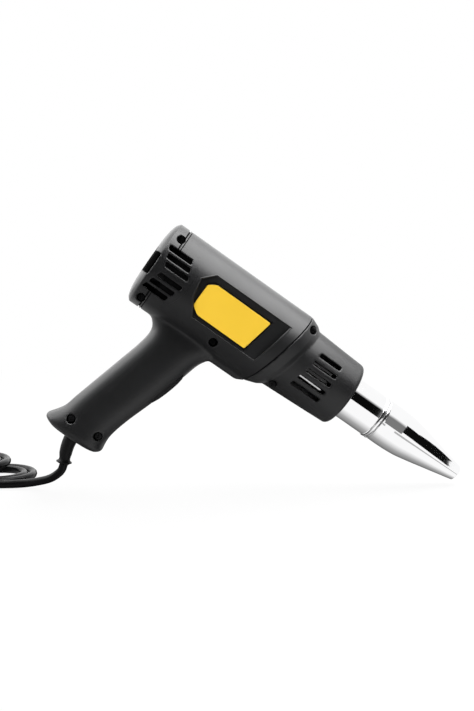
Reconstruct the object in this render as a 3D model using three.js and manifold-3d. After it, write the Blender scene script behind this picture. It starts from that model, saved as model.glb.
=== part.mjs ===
// Pistol-shaped hot air tool with its reducer nozzle, mains lead and plug.
// Millimetres, +Z up. The tool is held by its grip with the barrel pointing down to the right, as in
// use, and the lead lies on the surface below it.
//
// Inside the tool group, x runs along the barrel towards the nozzle, z points away from the handle and
// y is sideways, with the tool's right-hand side at -y. x = 0 is the rear rim, z = 0 the barrel axis.

import * as THREE from 'three';
import { mergeVertices } from 'three/addons/utils/BufferGeometryUtils.js';
import Module from 'manifold-3d';

const wasm = await Module();
wasm.setup();

// Pose and clearances
const PITCH = THREE.MathUtils.degToRad(35.1); // barrel below the horizontal
const GRIP = new THREE.Vector3(38.5, 0, -86); // the hand's middle, in the tool group
const GAP = 0.3; // between pieces that touch
const SEAM = 0.5; // open joint line between two mouldings
const PARTING = 0.3; // between the two halves of the housing
const FAR = 120; // longer than any wall that a cutter has to pass
const BARREL_SIDES = 32; // round forms that show
const INNER_SIDES = 20; // round forms inside
const BORE_SIDES = 12;

// Housing
const WALL = 2.5;
const BODY_RADIUS = 34.7;
const REAR_SEAM = 8.8;
const FRONT_SEAM = 113.7; // where the front seam crosses the barrel axis
const SEAM_SLOPE = 0.235; // the front seam leans forward at the top
const RIB = 2.2;
const RIB_AHEAD = 1.4; // from the rear seam to the first rib
const HANDLE_POWER = 2.7; // 2 is an ellipse, more is squarer
const PANEL_DEPTH = 5; // the flat side panel lies this far below the barrel's side
const PANEL_REAR = 34.8;
const PANEL_FRONT = 105;
const PANEL_HIGH = 21;
const KEEL_WIDTH = 19;
const KEEL_DEPTH = 2.8;
const KEEL_REAR = 72;
const FOOT_BOTTOM = -143.6;

// Rear cap
const DOME = 4.6; // the tail stands this far behind the rear rim
const TAIL_RADIUS = 16;
const CAP_PROUD = 0.1; // the cap's rim over the body
const CAP_RADIUS = BODY_RADIUS + CAP_PROUD;
const CAP_WALL = 2.4;
const BAFFLE_RADIUS = 19.2; // inner ring behind the side slots
const BAFFLE_WALL = 1.6;
const BAFFLE_FRONT = 12;
const TONGUE_FRONT = 31.5;
const TONGUE_HIGH = 41;
const TONGUE_BULGE = 6;
const SIDE_SLOT_LENGTH = 19.6;
const SIDE_SLOT_WIDTH = 3.7;
const SIDE_SLOT_HEIGHTS = [-17.4, -11.9, -5.6, 3.1, 8.9, 14.7];
const SIDE_SLOT_MIDDLE = -1.3; // height at which the slots reach furthest forward
const SIDE_SLOT_REAR = 9; // where they begin there
const SIDE_SLOT_LEAN = 0.39; // their ends fall back by this share of the height above or below it
const TAIL_SLOTS = 7;
const TAIL_SLOT_PITCH = 7;
const TAIL_SLOT_WIDTH = 3.4;
const TAIL_SLOT_HIGH = 21;
const NOTCH_HIGH = 17.6; // inlet notches in the rim, left and right of the tail
const NOTCH_FROM = 27;
const NOTCH_FRONT = 0.8;

// Nose shell
const SHOULDER = 12.7; // length of the shoulder in front of the seam
const SHOULDER_ALONG = [0, 0.03, 0.3, 0.69, 1]; // shares of its length
const SHOULDER_FALL = [0, 0.01, 0.2, 0.52, 1]; // shares of the step down to the nose
const NOSE_STEP = 5.8; // from the body down to the nose
const NOSE_TAPER = 2.2;
const NOSE_ROOT_RADIUS = BODY_RADIUS - NOSE_STEP;
const NOSE_TIP_RADIUS = NOSE_ROOT_RADIUS - NOSE_TAPER;
const NOSE_FRONT = 178;
const NOSE_EDGE = 2.6;
const NOSE_MOUTH_RADIUS = 20.4;
const NOSE_SLOT_REAR = 136.8;
const NOSE_SLOT_FRONT = 159.1;
const NOSE_SLOT_LEAN = 0.22;
const NOSE_SLOT_WIDTH = 3.2;
const NOSE_SLOT_HEIGHTS = [-14.7, -8, -0.7, 6.6, 13.8];

// Hot end
const TUBE_RADIUS = 17.5;
const TUBE_WALL = 0.8;
const TUBE_FRONT = 209.6;
const BEAD = 0.6; // the rolled mouth stands this far proud of the tube
const BEAD_LENGTH = 3.2;
const FLANGE = 1.6;
const SPIGOT_LENGTH = 20; // reducer inside the tube
const REDUCER_WALL = 0.8;
const REDUCER_RADIUS = 17.6;
const REDUCER_TIP = 287.5;
const SLEEVE_WALL = 0.7;
const SLEEVE_FRONT = 188;
const HEATER_DISC = 3;
const CROSS_RADIUS = 11.2;
const CROSS_THICK = 1.6;
const COIL_RADIUS = 12.4;
const COIL_WIRE = 1.8;
const COIL_TURNS = 8;

// Front of the housing inside the nose
const BULKHEAD_THICK = 2.6;
const SPIGOT_CLEAR = 0.8; // from the housing's spigot to the nose's wall
const SPIGOT_WALL = 2.2;
const SPIGOT_RADIUS = NOSE_ROOT_RADIUS - WALL - SPIGOT_CLEAR;
const FLANGE_RADIUS = SPIGOT_RADIUS - SPIGOT_WALL - 0.4;
const SPIGOT_FRONT = 131;
const FUNNEL_WALL = 1.2;

// Motor and fan
const MOTOR_RADIUS = 17.5;
const MOTOR_REAR = 56;
const MOTOR_LENGTH = 28;
const MOTOR_WALL = 1.4;
const END_CAP = 2.7;
const SHAFT_RADIUS = 1.6;
const SHAFT_REAR = 36.5;
const SHAFT_FRONT = 85.6;
const BUSH_RADIUS = 4.2;
const BUSH_LENGTH = 3.6;
const CORE_RADIUS = 11.6;
const CORE_LENGTH = 18;
const MAGNET_THICK = 3.2;
const DUCT_CLEAR = 0.7; // from the duct to the wall behind the side panel
const DUCT_RADIUS = BODY_RADIUS - PANEL_DEPTH - WALL - DUCT_CLEAR;
const DUCT_WALL = 1.6;
const DUCT_REAR = REAR_SEAM + RIB_AHEAD + RIB + GAP;
const DUCT_RIB = 34;
const DUCT_FRONT = 52;
const FAN_REAR = 37;
const FAN_LENGTH = 11;
const FAN_HUB = 8;
const FAN_CLEAR = 0.8;
const FAN_RADIUS = DUCT_RADIUS - DUCT_WALL - FAN_CLEAR;
const FAN_BLADES = 7;
const BLADE_THICK = 1.6;
const BLADE_TWIST = THREE.MathUtils.degToRad(38);

// Places of the hot end, in order in front of the motor
const FUNNEL_REAR = MOTOR_REAR + MOTOR_LENGTH + 2;
const FUNNEL_RADIUS = DUCT_RADIUS - 0.5;
const TUBE_REAR = FUNNEL_REAR + 6;
const SLEEVE_REAR = TUBE_REAR + 4.5;
const HEATER_REAR = SLEEVE_REAR + 0.8;
const CROSS_LENGTH = SLEEVE_FRONT - HEATER_REAR - 7.3;
const BULKHEAD = TUBE_REAR + 7;

// Switch in the front edge of the handle
const SWITCH_AT = new THREE.Vector3(62.9, 0, -74);
const SWITCH_LEAN = THREE.MathUtils.degToRad(16.7);
const BEZEL_LENGTH = 33.4;
const BEZEL_WIDTH = 21;
const BEZEL_PROUD = 0.9;
const BEZEL_THICK = 3.2;
const SWITCH_BOX_LENGTH = 29.4;
const SWITCH_BOX_WIDTH = 17.4;
const SWITCH_DEPTH = 19;
const ROCKER_LENGTH = 23;
const ROCKER_WIDTH = 12.6;
const ROCKER_PIVOT = 5.2; // below the bezel's face
const PIN_RADIUS = 1.1;

// Screws: [x, z, depth of the head's seat from the middle plane]
const CAP_SCREWS = [[6.6, BODY_RADIUS - 10.5, 16.5], [6.6, 7.7 - BODY_RADIUS, 12.5]];
const NOSE_SCREWS = [[125.7, BODY_RADIUS - 8.6, 13.5], [124.4, 10.2 - BODY_RADIUS, 13]];
const BODY_SCREWS = [[68.6, 10.7 - BODY_RADIUS, 15], [15.4, -130.8, 12], [39.1, -130.8, 12]];
const SCREW_HEAD = 2.85;
const SCREW_HEAD_HIGH = 2.2;
const SCREW_SHANK = 1.4;
const THREAD = 8;
const FLOOR_UNDER_HEAD = 2.2;
const COUNTERBORE = 3.25;
const POCKET = 4.9;
const BOSS = 4.2;

// Side plates: [x, z] corners
const PLATE_THICK = 1.1;
const PLATE_OUTLINE = [
  [40.5, -9.6], [46.9, -14], [89.2, -14.5], [94.9, 11.7], [46.5, 12.1], [40.9, 8.5],
];

// Strain relief, lead, hank and plug
const CORD = 6.4;
const RELIEF_X = 24.4;
const RELIEF_BEND = 40;
const RELIEF_TURN = THREE.MathUtils.degToRad(24);
const RELIEF_STRAIGHT = 7.7;
const RELIEF_ROOT = 5;
const RELIEF_END = 4.2;
const RELIEF_LIP = 6;
const RELIEF_LIP_LENGTH = 1.7;
const RELIEF_COLLAR = 8.4;
const RELIEF_COLLAR_TOP = FOOT_BOTTOM + WALL + 4.5;
const TABLE = -81.8; // the surface that the lead lies on
const HANK_RIGHT = -110.5; // middle of the right-hand fold
const HANK_START = -102.2; // where the lead becomes the hank
const HANK_FRONT = 14.9; // middle of the front run
const HANK_RUN = 118;
const HANK_OUTER = 33.5;
const HANK_STEP = 7.2; // from one loop to the next, and from layer to layer
const HANK_BACK = 24; // the upper layer's right-hand folds stop this much short of the lower ones
const HANK_WAIST = 8;
const HANK_WAIST_HALF = 35; // half the length of the drawn-in waist
const HANK_LIFT = 3.2;
const TIE_WIRE = 1.1;
const PLUG_THICK = 20.6;
const PLUG_WIDTH = 36;
const PLUG_LENGTH = 30;
const PLUG_BOOT = 16;
const PLUG_CLEAR = 10; // from the left-hand fold to the plug's boot
const PIN_PITCH = 19;
const PLUG_PIN_RADIUS = 2.4;
const PLUG_PIN_LENGTH = 19;

// Finishes
const finish = (color, roughness, metalness) =>
  new THREE.MeshStandardMaterial({ color, roughness, metalness });
const BLACK_PLASTIC = finish('#2b2c2e', 0.5, 0);
const CAP_PLASTIC = finish('#252628', 0.5, 0);
const CHROME = finish('#e4e6e8', 0.08, 1);
const YELLOW = finish('#fecd28', 0.4, 0);
const STEEL = finish('#9a9da1', 0.4, 1);
const ZINC = finish('#b4b7ba', 0.35, 1);
const BRASS = finish('#c2a04d', 0.35, 1);
const COPPER = finish('#b06a3c', 0.35, 1);
const WHITE_PLASTIC = finish('#d8d5cb', 0.55, 0);
const MICA = finish('#b9a98a', 0.75, 0);
const FERRITE = finish('#3b3b3d', 0.85, 0);
const HEATING_WIRE = finish('#76726c', 0.5, 1);
const RED_SLEEVE = finish('#a52a22', 0.55, 0);
const BLUE_SLEEVE = finish('#2d4d93', 0.55, 0);
const BOARD = finish('#2f6b45', 0.6, 0);
const RUBBER = finish('#1d1d1f', 0.7, 0);
const CORD_JACKET = finish('#1b1b1d', 0.6, 0);

// Solids, joined and cut
const WELD = 1e-4;

function solid(geometry) {
  const loose = geometry.index ? geometry.toNonIndexed() : geometry.clone();
  loose.deleteAttribute('normal');
  loose.deleteAttribute('uv');
  const merged = mergeVertices(loose, WELD);
  const at = merged.attributes.position;
  const corner = [0, 1, 2].map(() => new THREE.Vector3());
  const faces = [];
  let volume = 0;
  for (let i = 0; i < merged.index.count; i += 3) {
    const [a, b, c] = [0, 1, 2].map((k) => merged.index.getX(i + k));
    if (a === b || b === c || c === a) continue;
    corner.forEach((p, k) => p.fromBufferAttribute(at, [a, b, c][k]));
    volume += corner[0].dot(corner[1].clone().cross(corner[2]));
    faces.push([a, b, c]);
  }
  const ordered = volume < 0 ? faces.map(([a, b, c]) => [a, c, b]) : faces;
  return new wasm.Manifold(new wasm.Mesh({
    numProp: 3,
    vertProperties: new Float32Array(at.array),
    triVerts: new Uint32Array(ordered.flat()),
  }));
}

function geometryOf(body) {
  const mesh = body.getMesh();
  const geometry = new THREE.BufferGeometry();
  geometry.setAttribute('position', new THREE.BufferAttribute(mesh.vertProperties, 3));
  geometry.setIndex(new THREE.BufferAttribute(mesh.triVerts, 1));
  return geometry;
}

const join = (...bodies) => bodies.reduce((a, b) => a.add(b));
const cut = (body, ...tools) => tools.reduce((a, b) => a.subtract(b), body);

// A solid of revolution about x from [along, radius] points that start and end on the axis.
function turned(profile, sides = BARREL_SIDES) {
  const geometry = new THREE.LatheGeometry(profile.map(([x, r]) => new THREE.Vector2(r, x)), sides);
  geometry.rotateZ(-Math.PI / 2);
  return solid(geometry);
}

const disc = (from, to, radius, sides) =>
  turned([[from, 0], [from, radius], [to, radius], [to, 0]], sides);
const ring = (from, to, inner, outer, sides) =>
  turned([[from, inner], [from, outer], [to, outer], [to, inner], [from, inner]], sides);

// A flat outline of [x, z] points, or a THREE.Shape, drawn out sideways from y = from to y = to.
function prism(outline, from, to, curveSegments = 6) {
  const shape = outline instanceof THREE.Shape
    ? outline
    : new THREE.Shape(outline.map(([x, z]) => new THREE.Vector2(x, z)));
  const depth = to - from;
  const geometry = new THREE.ExtrudeGeometry(shape, { depth, bevelEnabled: false, curveSegments });
  geometry.rotateX(Math.PI / 2);
  geometry.translate(0, to, 0);
  return solid(geometry);
}

// A round bar along y.
function crossBar(x, z, from, to, radius, sides = BORE_SIDES) {
  const geometry = new THREE.CylinderGeometry(radius, radius, to - from, sides);
  geometry.translate(x, (from + to) / 2, z);
  return solid(geometry);
}

function block(x0, x1, y0, y1, z0, z1) {
  const geometry = new THREE.BoxGeometry(x1 - x0, y1 - y0, z1 - z0);
  geometry.translate((x0 + x1) / 2, (y0 + y1) / 2, (z0 + z1) / 2);
  return solid(geometry);
}

// A closed skin over rings of points, all with the same count.
function loft(rings) {
  const count = rings[0].length;
  const positions = rings.flat();
  const faces = [];
  for (let i = 0; i + 1 < rings.length; i += 1) {
    for (let k = 0; k < count; k += 1) {
      const a = i * count + k;
      const b = i * count + ((k + 1) % count);
      faces.push(a, b, b + count, a, b + count, a + count);
    }
  }
  const last = (rings.length - 1) * count;
  for (let k = 1; k + 1 < count; k += 1) {
    faces.push(0, k + 1, k, last, last + k, last + k + 1);
  }
  const geometry = new THREE.BufferGeometry();
  const numbers = positions.flatMap((p) => p.toArray());
  geometry.setAttribute('position', new THREE.Float32BufferAttribute(numbers, 3));
  geometry.setIndex(faces);
  return geometry;
}

// A round tube through points, its section carried along without twist.
function tubeThrough(points, radius, sides) {
  const radii = Array.isArray(radius) ? radius : points.map(() => radius);
  const tangents = points.map((_, i) =>
    points[Math.min(i + 1, points.length - 1)].clone().sub(points[Math.max(i - 1, 0)]).normalize());
  let across = new THREE.Vector3(0, 1, 0);
  const rings = points.map((p, i) => {
    across = across.clone().addScaledVector(tangents[i], -across.dot(tangents[i])).normalize();
    const other = tangents[i].clone().cross(across);
    return Array.from({ length: sides }, (_, k) => {
      const turn = (2 * Math.PI * k) / sides;
      return p.clone()
        .addScaledVector(across, radii[i] * Math.cos(turn))
        .addScaledVector(other, radii[i] * Math.sin(turn));
    });
  });
  return loft(rings);
}

// Least clear distance between stretches of one tube that are not next to each other.
function leastGap(points, diameter) {
  const along = [0];
  for (let i = 1; i < points.length; i += 1) {
    along.push(along[i - 1] + points[i].distanceTo(points[i - 1]));
  }
  let least = Infinity;
  for (let i = 0; i < points.length; i += 1) {
    for (let j = i + 1; j < points.length; j += 1) {
      if (along[j] - along[i] < 4 * diameter) continue;
      least = Math.min(least, points[i].distanceTo(points[j]) - diameter);
    }
  }
  return { least, length: along[points.length - 1] };
}

const tool = new THREE.Group();
const model = new THREE.Group();
model.add(tool);

function piece(name, shape, material, parent = tool) {
  const geometry = geometryOf(shape instanceof THREE.BufferGeometry ? solid(shape) : shape);
  const mesh = new THREE.Mesh(geometry, material);
  mesh.name = name;
  parent.add(mesh);
  return mesh;
}

// Housing: barrel, handle and keel as one hollow form, split down the middle

// Handle sections from inside the barrel down to the foot: [z, rear x, front x, half width].
const HANDLE_SECTIONS = [
  [-24, 15, 84, 14],
  [-33.5, 19.5, 79.5, 16],
  [-39, 24.8, 75.4, 16.8],
  [-46, 26.8, 71.8, 17.2],
  [-58, 24.9, 67.7, 17.3],
  [-72, 21.1, 63.8, 17.3],
  [-90, 16.1, 58.4, 17.2],
  [-106, 11.7, 52.8, 17.2],
  [-118, 8.4, 49.2, 17.4],
  [-127, 6.2, 47.3, 17.8],
  [-133, 2.6, 47.2, 18.6],
  [-138, -1.1, 47.9, 19.4],
  [-140.4, -2.1, 47.9, 19.4],
  [-142.2, 1.2, 46.2, 18.1],
  [FOOT_BOTTOM, 6.5, 42, 15.3],
];

function handleForm(inset, sides = 20) {
  const last = HANDLE_SECTIONS.length - 1;
  return solid(loft(HANDLE_SECTIONS.map(([z, rear, front, half], i) => {
    const middle = (rear + front) / 2;
    const reach = (front - rear) / 2 - inset;
    const height = i > last - 3 ? Math.max(z, FOOT_BOTTOM + inset + (last - i) * 0.2) : z;
    return Array.from({ length: sides }, (_, k) => {
      const turn = (2 * Math.PI * k) / sides;
      const bulge = (t) => Math.sign(t) * Math.abs(t) ** (2 / HANDLE_POWER);
      const x = middle + reach * bulge(Math.cos(turn));
      const y = (half - inset) * bulge(Math.sin(turn));
      return new THREE.Vector3(x, y, height);
    });
  })));
}

const panelFace = BODY_RADIUS - PANEL_DEPTH;
const frontEdge = (z) => FRONT_SEAM + SEAM_SLOPE * z;

function keelForm(inset) {
  const low = -BODY_RADIUS - KEEL_DEPTH + inset;
  const front = frontEdge(low) - SEAM / 2;
  return prism([
    [KEEL_REAR + inset, -BODY_RADIUS + 9],
    [KEEL_REAR + 4 + inset, low],
    [front - 5, low],
    [front - inset, low + KEEL_DEPTH - 0.2],
    [front - inset, -BODY_RADIUS + 9],
  ], -KEEL_WIDTH / 2 + inset, KEEL_WIDTH / 2 - inset);
}

// Everything behind the oblique front seam.
function behindSeam(shift) {
  return prism([
    [-FAR, -FAR * 2],
    [frontEdge(-FAR * 2) - shift, -FAR * 2],
    [frontEdge(FAR) - shift, FAR],
    [-FAR, FAR],
  ], -FAR, FAR);
}

function panelOutline(grow) {
  const rear = PANEL_REAR - grow;
  const front = PANEL_FRONT + grow;
  return [
    [rear + 12, -PANEL_HIGH],
    [front - SEAM_SLOPE * PANEL_HIGH, -PANEL_HIGH],
    [front + SEAM_SLOPE * PANEL_HIGH, PANEL_HIGH],
    [rear + 10.7, PANEL_HIGH],
    [rear, PANEL_HIGH - 11.7],
    [rear + 2.8, -PANEL_HIGH + 16],
  ];
}

const panelCut = (grow, face) => join(
  prism(panelOutline(grow), face, FAR),
  prism(panelOutline(grow), -FAR, -face),
);

// The cap's grille tongues reach forward into matching gaps in the housing.
function tongueOutline(grow) {
  const high = TONGUE_HIGH / 2 + grow;
  const side = TONGUE_FRONT - TONGUE_BULGE + grow;
  const shape = new THREE.Shape();
  shape.moveTo(-FAR, -high);
  shape.lineTo(side, -high);
  shape.quadraticCurveTo(side + 2 * TONGUE_BULGE, 0, side, high);
  shape.lineTo(-FAR, high);
  return shape;
}

const capSpigot = CAP_RADIUS - CAP_WALL - GAP;
const bodyOuter = join(
  disc(REAR_SEAM + SEAM / 2, FAR + 20, BODY_RADIUS).intersect(behindSeam(SEAM / 2)),
  handleForm(0),
  keelForm(0),
);
const bodyInner = join(
  cut(disc(0, FAR + 30, BODY_RADIUS - WALL, INNER_SIDES), panelCut(WALL, panelFace - WALL)),
  handleForm(WALL, 12),
);
const rearSpigot = ring(REAR_SEAM - 4.6, REAR_SEAM + 4, capSpigot - 2, capSpigot, INNER_SIDES);
const rearRib = ring(REAR_SEAM + RIB_AHEAD, REAR_SEAM + RIB_AHEAD + RIB, MOTOR_RADIUS + 4, capSpigot + 1,
  INNER_SIDES);
const innerRibs = [
  [DUCT_RIB, DUCT_RADIUS], [DUCT_FRONT - 5, DUCT_RADIUS], [FUNNEL_REAR + 0.4, FUNNEL_RADIUS],
].map(([x, radius]) => ring(x, x + RIB, radius + GAP, BODY_RADIUS - 1, INNER_SIDES));
const flangeGroove = ring(BULKHEAD + BULKHEAD_THICK - GAP, BULKHEAD + BULKHEAD_THICK + FLANGE + GAP,
  TUBE_RADIUS, FLANGE_RADIUS + GAP, INNER_SIDES);
const bulkhead = cut(
  ring(BULKHEAD, BULKHEAD + BULKHEAD_THICK * 2 + FLANGE, TUBE_RADIUS + 1, BODY_RADIUS - 1,
    INNER_SIDES),
  flangeGroove,
);
const frontSpigot = ring(BULKHEAD, SPIGOT_FRONT, SPIGOT_RADIUS - SPIGOT_WALL, SPIGOT_RADIUS,
  INNER_SIDES);

// The nose as a full form: its shoulder follows the oblique seam, and its front is square to the barrel.
function noseForm(inset, from, to, sides) {
  const slope = (NOSE_ROOT_RADIUS - NOSE_TIP_RADIUS) / (NOSE_FRONT - NOSE_EDGE - FRONT_SEAM - SHOULDER);
  const along = SHOULDER_ALONG.map((share) => FRONT_SEAM + share * SHOULDER);
  const radii = SHOULDER_FALL.map((share) => BODY_RADIUS - share * NOSE_STEP);
  const atEnd = NOSE_ROOT_RADIUS - slope * (to - FRONT_SEAM - SHOULDER);
  const profile = [
    [from, 0], [from, radii[0] - inset],
    ...along.map((x, i) => [x, radii[i] - inset]),
    [NOSE_SLOT_REAR, NOSE_ROOT_RADIUS - slope * (NOSE_SLOT_REAR - FRONT_SEAM - SHOULDER) - inset],
  ];
  if (inset > 0) {
    profile.push([to, atEnd - inset], [to, 0]);
  } else {
    profile.push([to - NOSE_EDGE, NOSE_TIP_RADIUS], [to - 0.8, NOSE_TIP_RADIUS - 0.9],
      [to, NOSE_TIP_RADIUS - NOSE_EDGE], [to, 0]);
  }
  const geometry = geometryOf(turned(profile, sides));
  const at = geometry.attributes.position;
  for (let i = 0; i < at.count; i += 1) {
    const past = (at.getX(i) - FRONT_SEAM - SHOULDER) / (NOSE_SLOT_FRONT - FRONT_SEAM - SHOULDER);
    const lean = SEAM_SLOPE * THREE.MathUtils.clamp(1 - past, 0, 1);
    at.setX(i, at.getX(i) + lean * at.getZ(i));
  }
  return solid(geometry);
}

const onBothSides = (make) => join(make(1), make(-1));
const boss = (x, z, from, to, radius, side) =>
  crossBar(x, z, Math.min(side * from, side * to), Math.max(side * from, side * to), radius);

const capBosses = join(...CAP_SCREWS.map(([x, z, seat]) => onBothSides((side) =>
  boss(x, z, seat - FLOOR_UNDER_HEAD - 1.4 - THREAD, seat - FLOOR_UNDER_HEAD - GAP, BOSS, side))))
  .intersect(disc(0, REAR_SEAM + 8, capSpigot, INNER_SIDES));
const noseBosses = join(...NOSE_SCREWS.map(([x, z, seat]) => onBothSides((side) =>
  boss(x, z, 0, seat - FLOOR_UNDER_HEAD - GAP, BOSS, side))))
  .intersect(noseForm(WALL + GAP, FRONT_SEAM - 20, 160, INNER_SIDES));
const bodyPosts = join(...BODY_SCREWS.map(([x, z]) => crossBar(x, z, -FAR, FAR, POCKET)));
const pockets = (places, radius) => join(...places.map(([x, z, seat]) => onBothSides((side) =>
  boss(x, z, seat - FLOOR_UNDER_HEAD, FAR, radius, side))));
const headRooms = (places) => join(...places.map(([x, z, seat]) => onBothSides((side) =>
  boss(x, z, seat, FAR, COUNTERBORE, side))));
const threads = join(...[...CAP_SCREWS, ...NOSE_SCREWS].map(([x, z, seat]) => onBothSides((side) =>
  boss(x, z, seat - FLOOR_UNDER_HEAD - THREAD, seat + 1, SCREW_SHANK + GAP, side))));
const bodyThreads = join(...BODY_SCREWS.map(([x, z]) =>
  crossBar(x, z, -FAR, THREAD + 1, SCREW_SHANK + GAP)));
const bodyCounterbores = join(...BODY_SCREWS.map(([x, z, seat]) =>
  crossBar(x, z, -FAR, -seat, COUNTERBORE)));

// Switch window in the handle's front wall, and the hole for the strain relief in the foot.
// In the switch's own frame x points out of the handle and z up along its front edge.
const switchFrame = new THREE.Matrix4().makeRotationY(SWITCH_LEAN).setPosition(SWITCH_AT);

function inSwitchFrame(body) {
  const geometry = geometryOf(body);
  geometry.applyMatrix4(switchFrame);
  return solid(geometry);
}

const switchBlock = (x0, x1, width, length) =>
  block(x0, x1, -width / 2, width / 2, -length / 2, length / 2);
const bezelBack = BEZEL_PROUD - BEZEL_THICK;
const switchWindow = inSwitchFrame(join(
  switchBlock(-SWITCH_DEPTH - 3, FAR / 4, SWITCH_BOX_WIDTH + 2 * GAP, SWITCH_BOX_LENGTH + 2 * GAP),
  switchBlock(bezelBack - GAP, FAR / 4, BEZEL_WIDTH + 2 * GAP, BEZEL_LENGTH + 2 * GAP),
));

function upright(x, z0, z1, radius, sides = 20) {
  const geometry = new THREE.CylinderGeometry(radius, radius, z1 - z0, sides);
  geometry.rotateX(Math.PI / 2);
  geometry.translate(x, 0, (z0 + z1) / 2);
  return solid(geometry);
}

const reliefHole = join(
  upright(RELIEF_X, FOOT_BOTTOM - 5, RELIEF_COLLAR_TOP + GAP, RELIEF_ROOT + GAP),
  upright(RELIEF_X, FOOT_BOTTOM + WALL - GAP, RELIEF_COLLAR_TOP + GAP, RELIEF_COLLAR + GAP),
  upright(RELIEF_X, RELIEF_COLLAR_TOP, RELIEF_COLLAR_TOP + 10, CORD / 2 + 1),
);
const reliefSeat = upright(RELIEF_X, FOOT_BOTTOM + 1, RELIEF_COLLAR_TOP + 2, RELIEF_COLLAR + 2.6)
  .intersect(handleForm(1));

const fittings = join(
  join(rearSpigot, rearRib, ...innerRibs, bulkhead, bodyPosts).intersect(
    join(bodyOuter, disc(0, REAR_SEAM + 5, capSpigot))),
  reliefSeat, frontSpigot, capBosses, noseBosses,
);
const housing = cut(
  join(cut(bodyOuter, bodyInner), fittings),
  panelCut(0, panelFace),
  prism(tongueOutline(GAP), -FAR, FAR),
  pockets(CAP_SCREWS, POCKET + GAP), pockets(NOSE_SCREWS, POCKET + GAP),
  threads, bodyThreads, bodyCounterbores, switchWindow, reliefHole,
);
piece('housing_right', cut(housing, block(-FAR, FAR * 2, -PARTING / 2, FAR, -FAR * 2, FAR)),
  BLACK_PLASTIC);
piece('housing_left', cut(housing, block(-FAR, FAR * 2, -FAR, PARTING / 2, -FAR * 2, FAR)),
  BLACK_PLASTIC);

// Rear cap: a domed cup with a grille tongue down each side
function slotOutline(from, to, z, width) {
  const r = width / 2;
  const end = (centre, first) => [0, 1, 2, 3].map((k) => {
    const turn = first + (k * Math.PI) / 3;
    return [centre + r * Math.cos(turn), z + r * Math.sin(turn)];
  });
  return [...end(to - r, -Math.PI / 2), ...end(from + r, Math.PI / 2)];
}

const sideCut = (outline, clear) => join(prism(outline, clear, FAR), prism(outline, -FAR, -clear));
const capBlank = (to) => turned([
  [-DOME, 0], [-DOME, TAIL_RADIUS], [-3.9, CAP_RADIUS - 10.8], [-2.6, CAP_RADIUS - 4.8],
  [-0.6, CAP_RADIUS - 1.2], [0.6, CAP_RADIUS],
  [to, CAP_RADIUS], [to, 0],
]);
const capHollow = turned([
  [CAP_WALL - DOME, 0], [CAP_WALL - DOME, TAIL_RADIUS], [-1.5, CAP_RADIUS - 11.4],
  [0, CAP_RADIUS - 5.8],
  [1.8, CAP_RADIUS - CAP_WALL], [FAR, CAP_RADIUS - CAP_WALL], [FAR, 0],
], INNER_SIDES);
const tongues = ring(REAR_SEAM - 4, TONGUE_FRONT + 5, CAP_RADIUS - CAP_WALL, CAP_RADIUS)
  .intersect(prism(tongueOutline(0), -FAR, FAR));
const slotRear = (z) => SIDE_SLOT_REAR - SIDE_SLOT_LEAN * Math.abs(z - SIDE_SLOT_MIDDLE);
const sideSlots = join(...SIDE_SLOT_HEIGHTS.map((z) => {
  const low = z - SIDE_SLOT_WIDTH / 2;
  const high = z + SIDE_SLOT_WIDTH / 2;
  return sideCut([
    [slotRear(low), low], [slotRear(low) + SIDE_SLOT_LENGTH, low],
    [slotRear(high) + SIDE_SLOT_LENGTH, high], [slotRear(high), high],
  ], BAFFLE_RADIUS + 2);
}));
const notches = sideCut([
  [-FAR, SIDE_SLOT_MIDDLE - NOTCH_HIGH / 2], [NOTCH_FRONT, SIDE_SLOT_MIDDLE - NOTCH_HIGH / 2],
  [NOTCH_FRONT, SIDE_SLOT_MIDDLE + NOTCH_HIGH / 2], [-FAR, SIDE_SLOT_MIDDLE + NOTCH_HIGH / 2],
], NOTCH_FROM);
const tailSlots = join(...Array.from({ length: TAIL_SLOTS }, (_, i) => {
  const y = (i - (TAIL_SLOTS - 1) / 2) * TAIL_SLOT_PITCH;
  const half = TAIL_SLOT_WIDTH / 2;
  return block(-DOME - 1, 1, y - half, y + half, -TAIL_SLOT_HIGH / 2, TAIL_SLOT_HIGH / 2);
}));
piece('rear_cap', cut(
  join(
    cut(join(capBlank(REAR_SEAM - SEAM / 2), tongues), capHollow),
    tongues,
    ring(1 - DOME, BAFFLE_FRONT, BAFFLE_RADIUS - BAFFLE_WALL, BAFFLE_RADIUS, INNER_SIDES),
    pockets(CAP_SCREWS, POCKET).intersect(capBlank(REAR_SEAM + 6)),
  ),
  headRooms(CAP_SCREWS), threads, sideSlots, tailSlots, notches,
), CAP_PLASTIC);

// Nose shell
const noseSlots = join(...NOSE_SLOT_HEIGHTS.map((z) =>
  sideCut(slotOutline(NOSE_SLOT_REAR + NOSE_SLOT_LEAN * z, NOSE_SLOT_FRONT, z, NOSE_SLOT_WIDTH), 10)));
const noseOuter = noseForm(0, FRONT_SEAM + SEAM / 2, NOSE_FRONT);
piece('nose_shell', cut(
  join(
    cut(noseOuter, noseForm(WALL, FRONT_SEAM - 20, NOSE_FRONT - WALL, INNER_SIDES)),
    pockets(NOSE_SCREWS, POCKET).intersect(noseOuter),
  ),
  headRooms(NOSE_SCREWS), threads, noseSlots,
  disc(NOSE_FRONT - 2 * WALL, NOSE_FRONT + 5, NOSE_MOUTH_RADIUS),
), BLACK_PLASTIC);

// Screws
function screw(name, [x, z, seat], side, tip) {
  const ends = [side * (seat + 1), side * tip];
  piece(name, join(
    boss(x, z, seat + GAP, seat + GAP + SCREW_HEAD_HIGH, SCREW_HEAD, side),
    crossBar(x, z, Math.min(...ends), Math.max(...ends), SCREW_SHANK, 8),
  ), ZINC);
}

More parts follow.
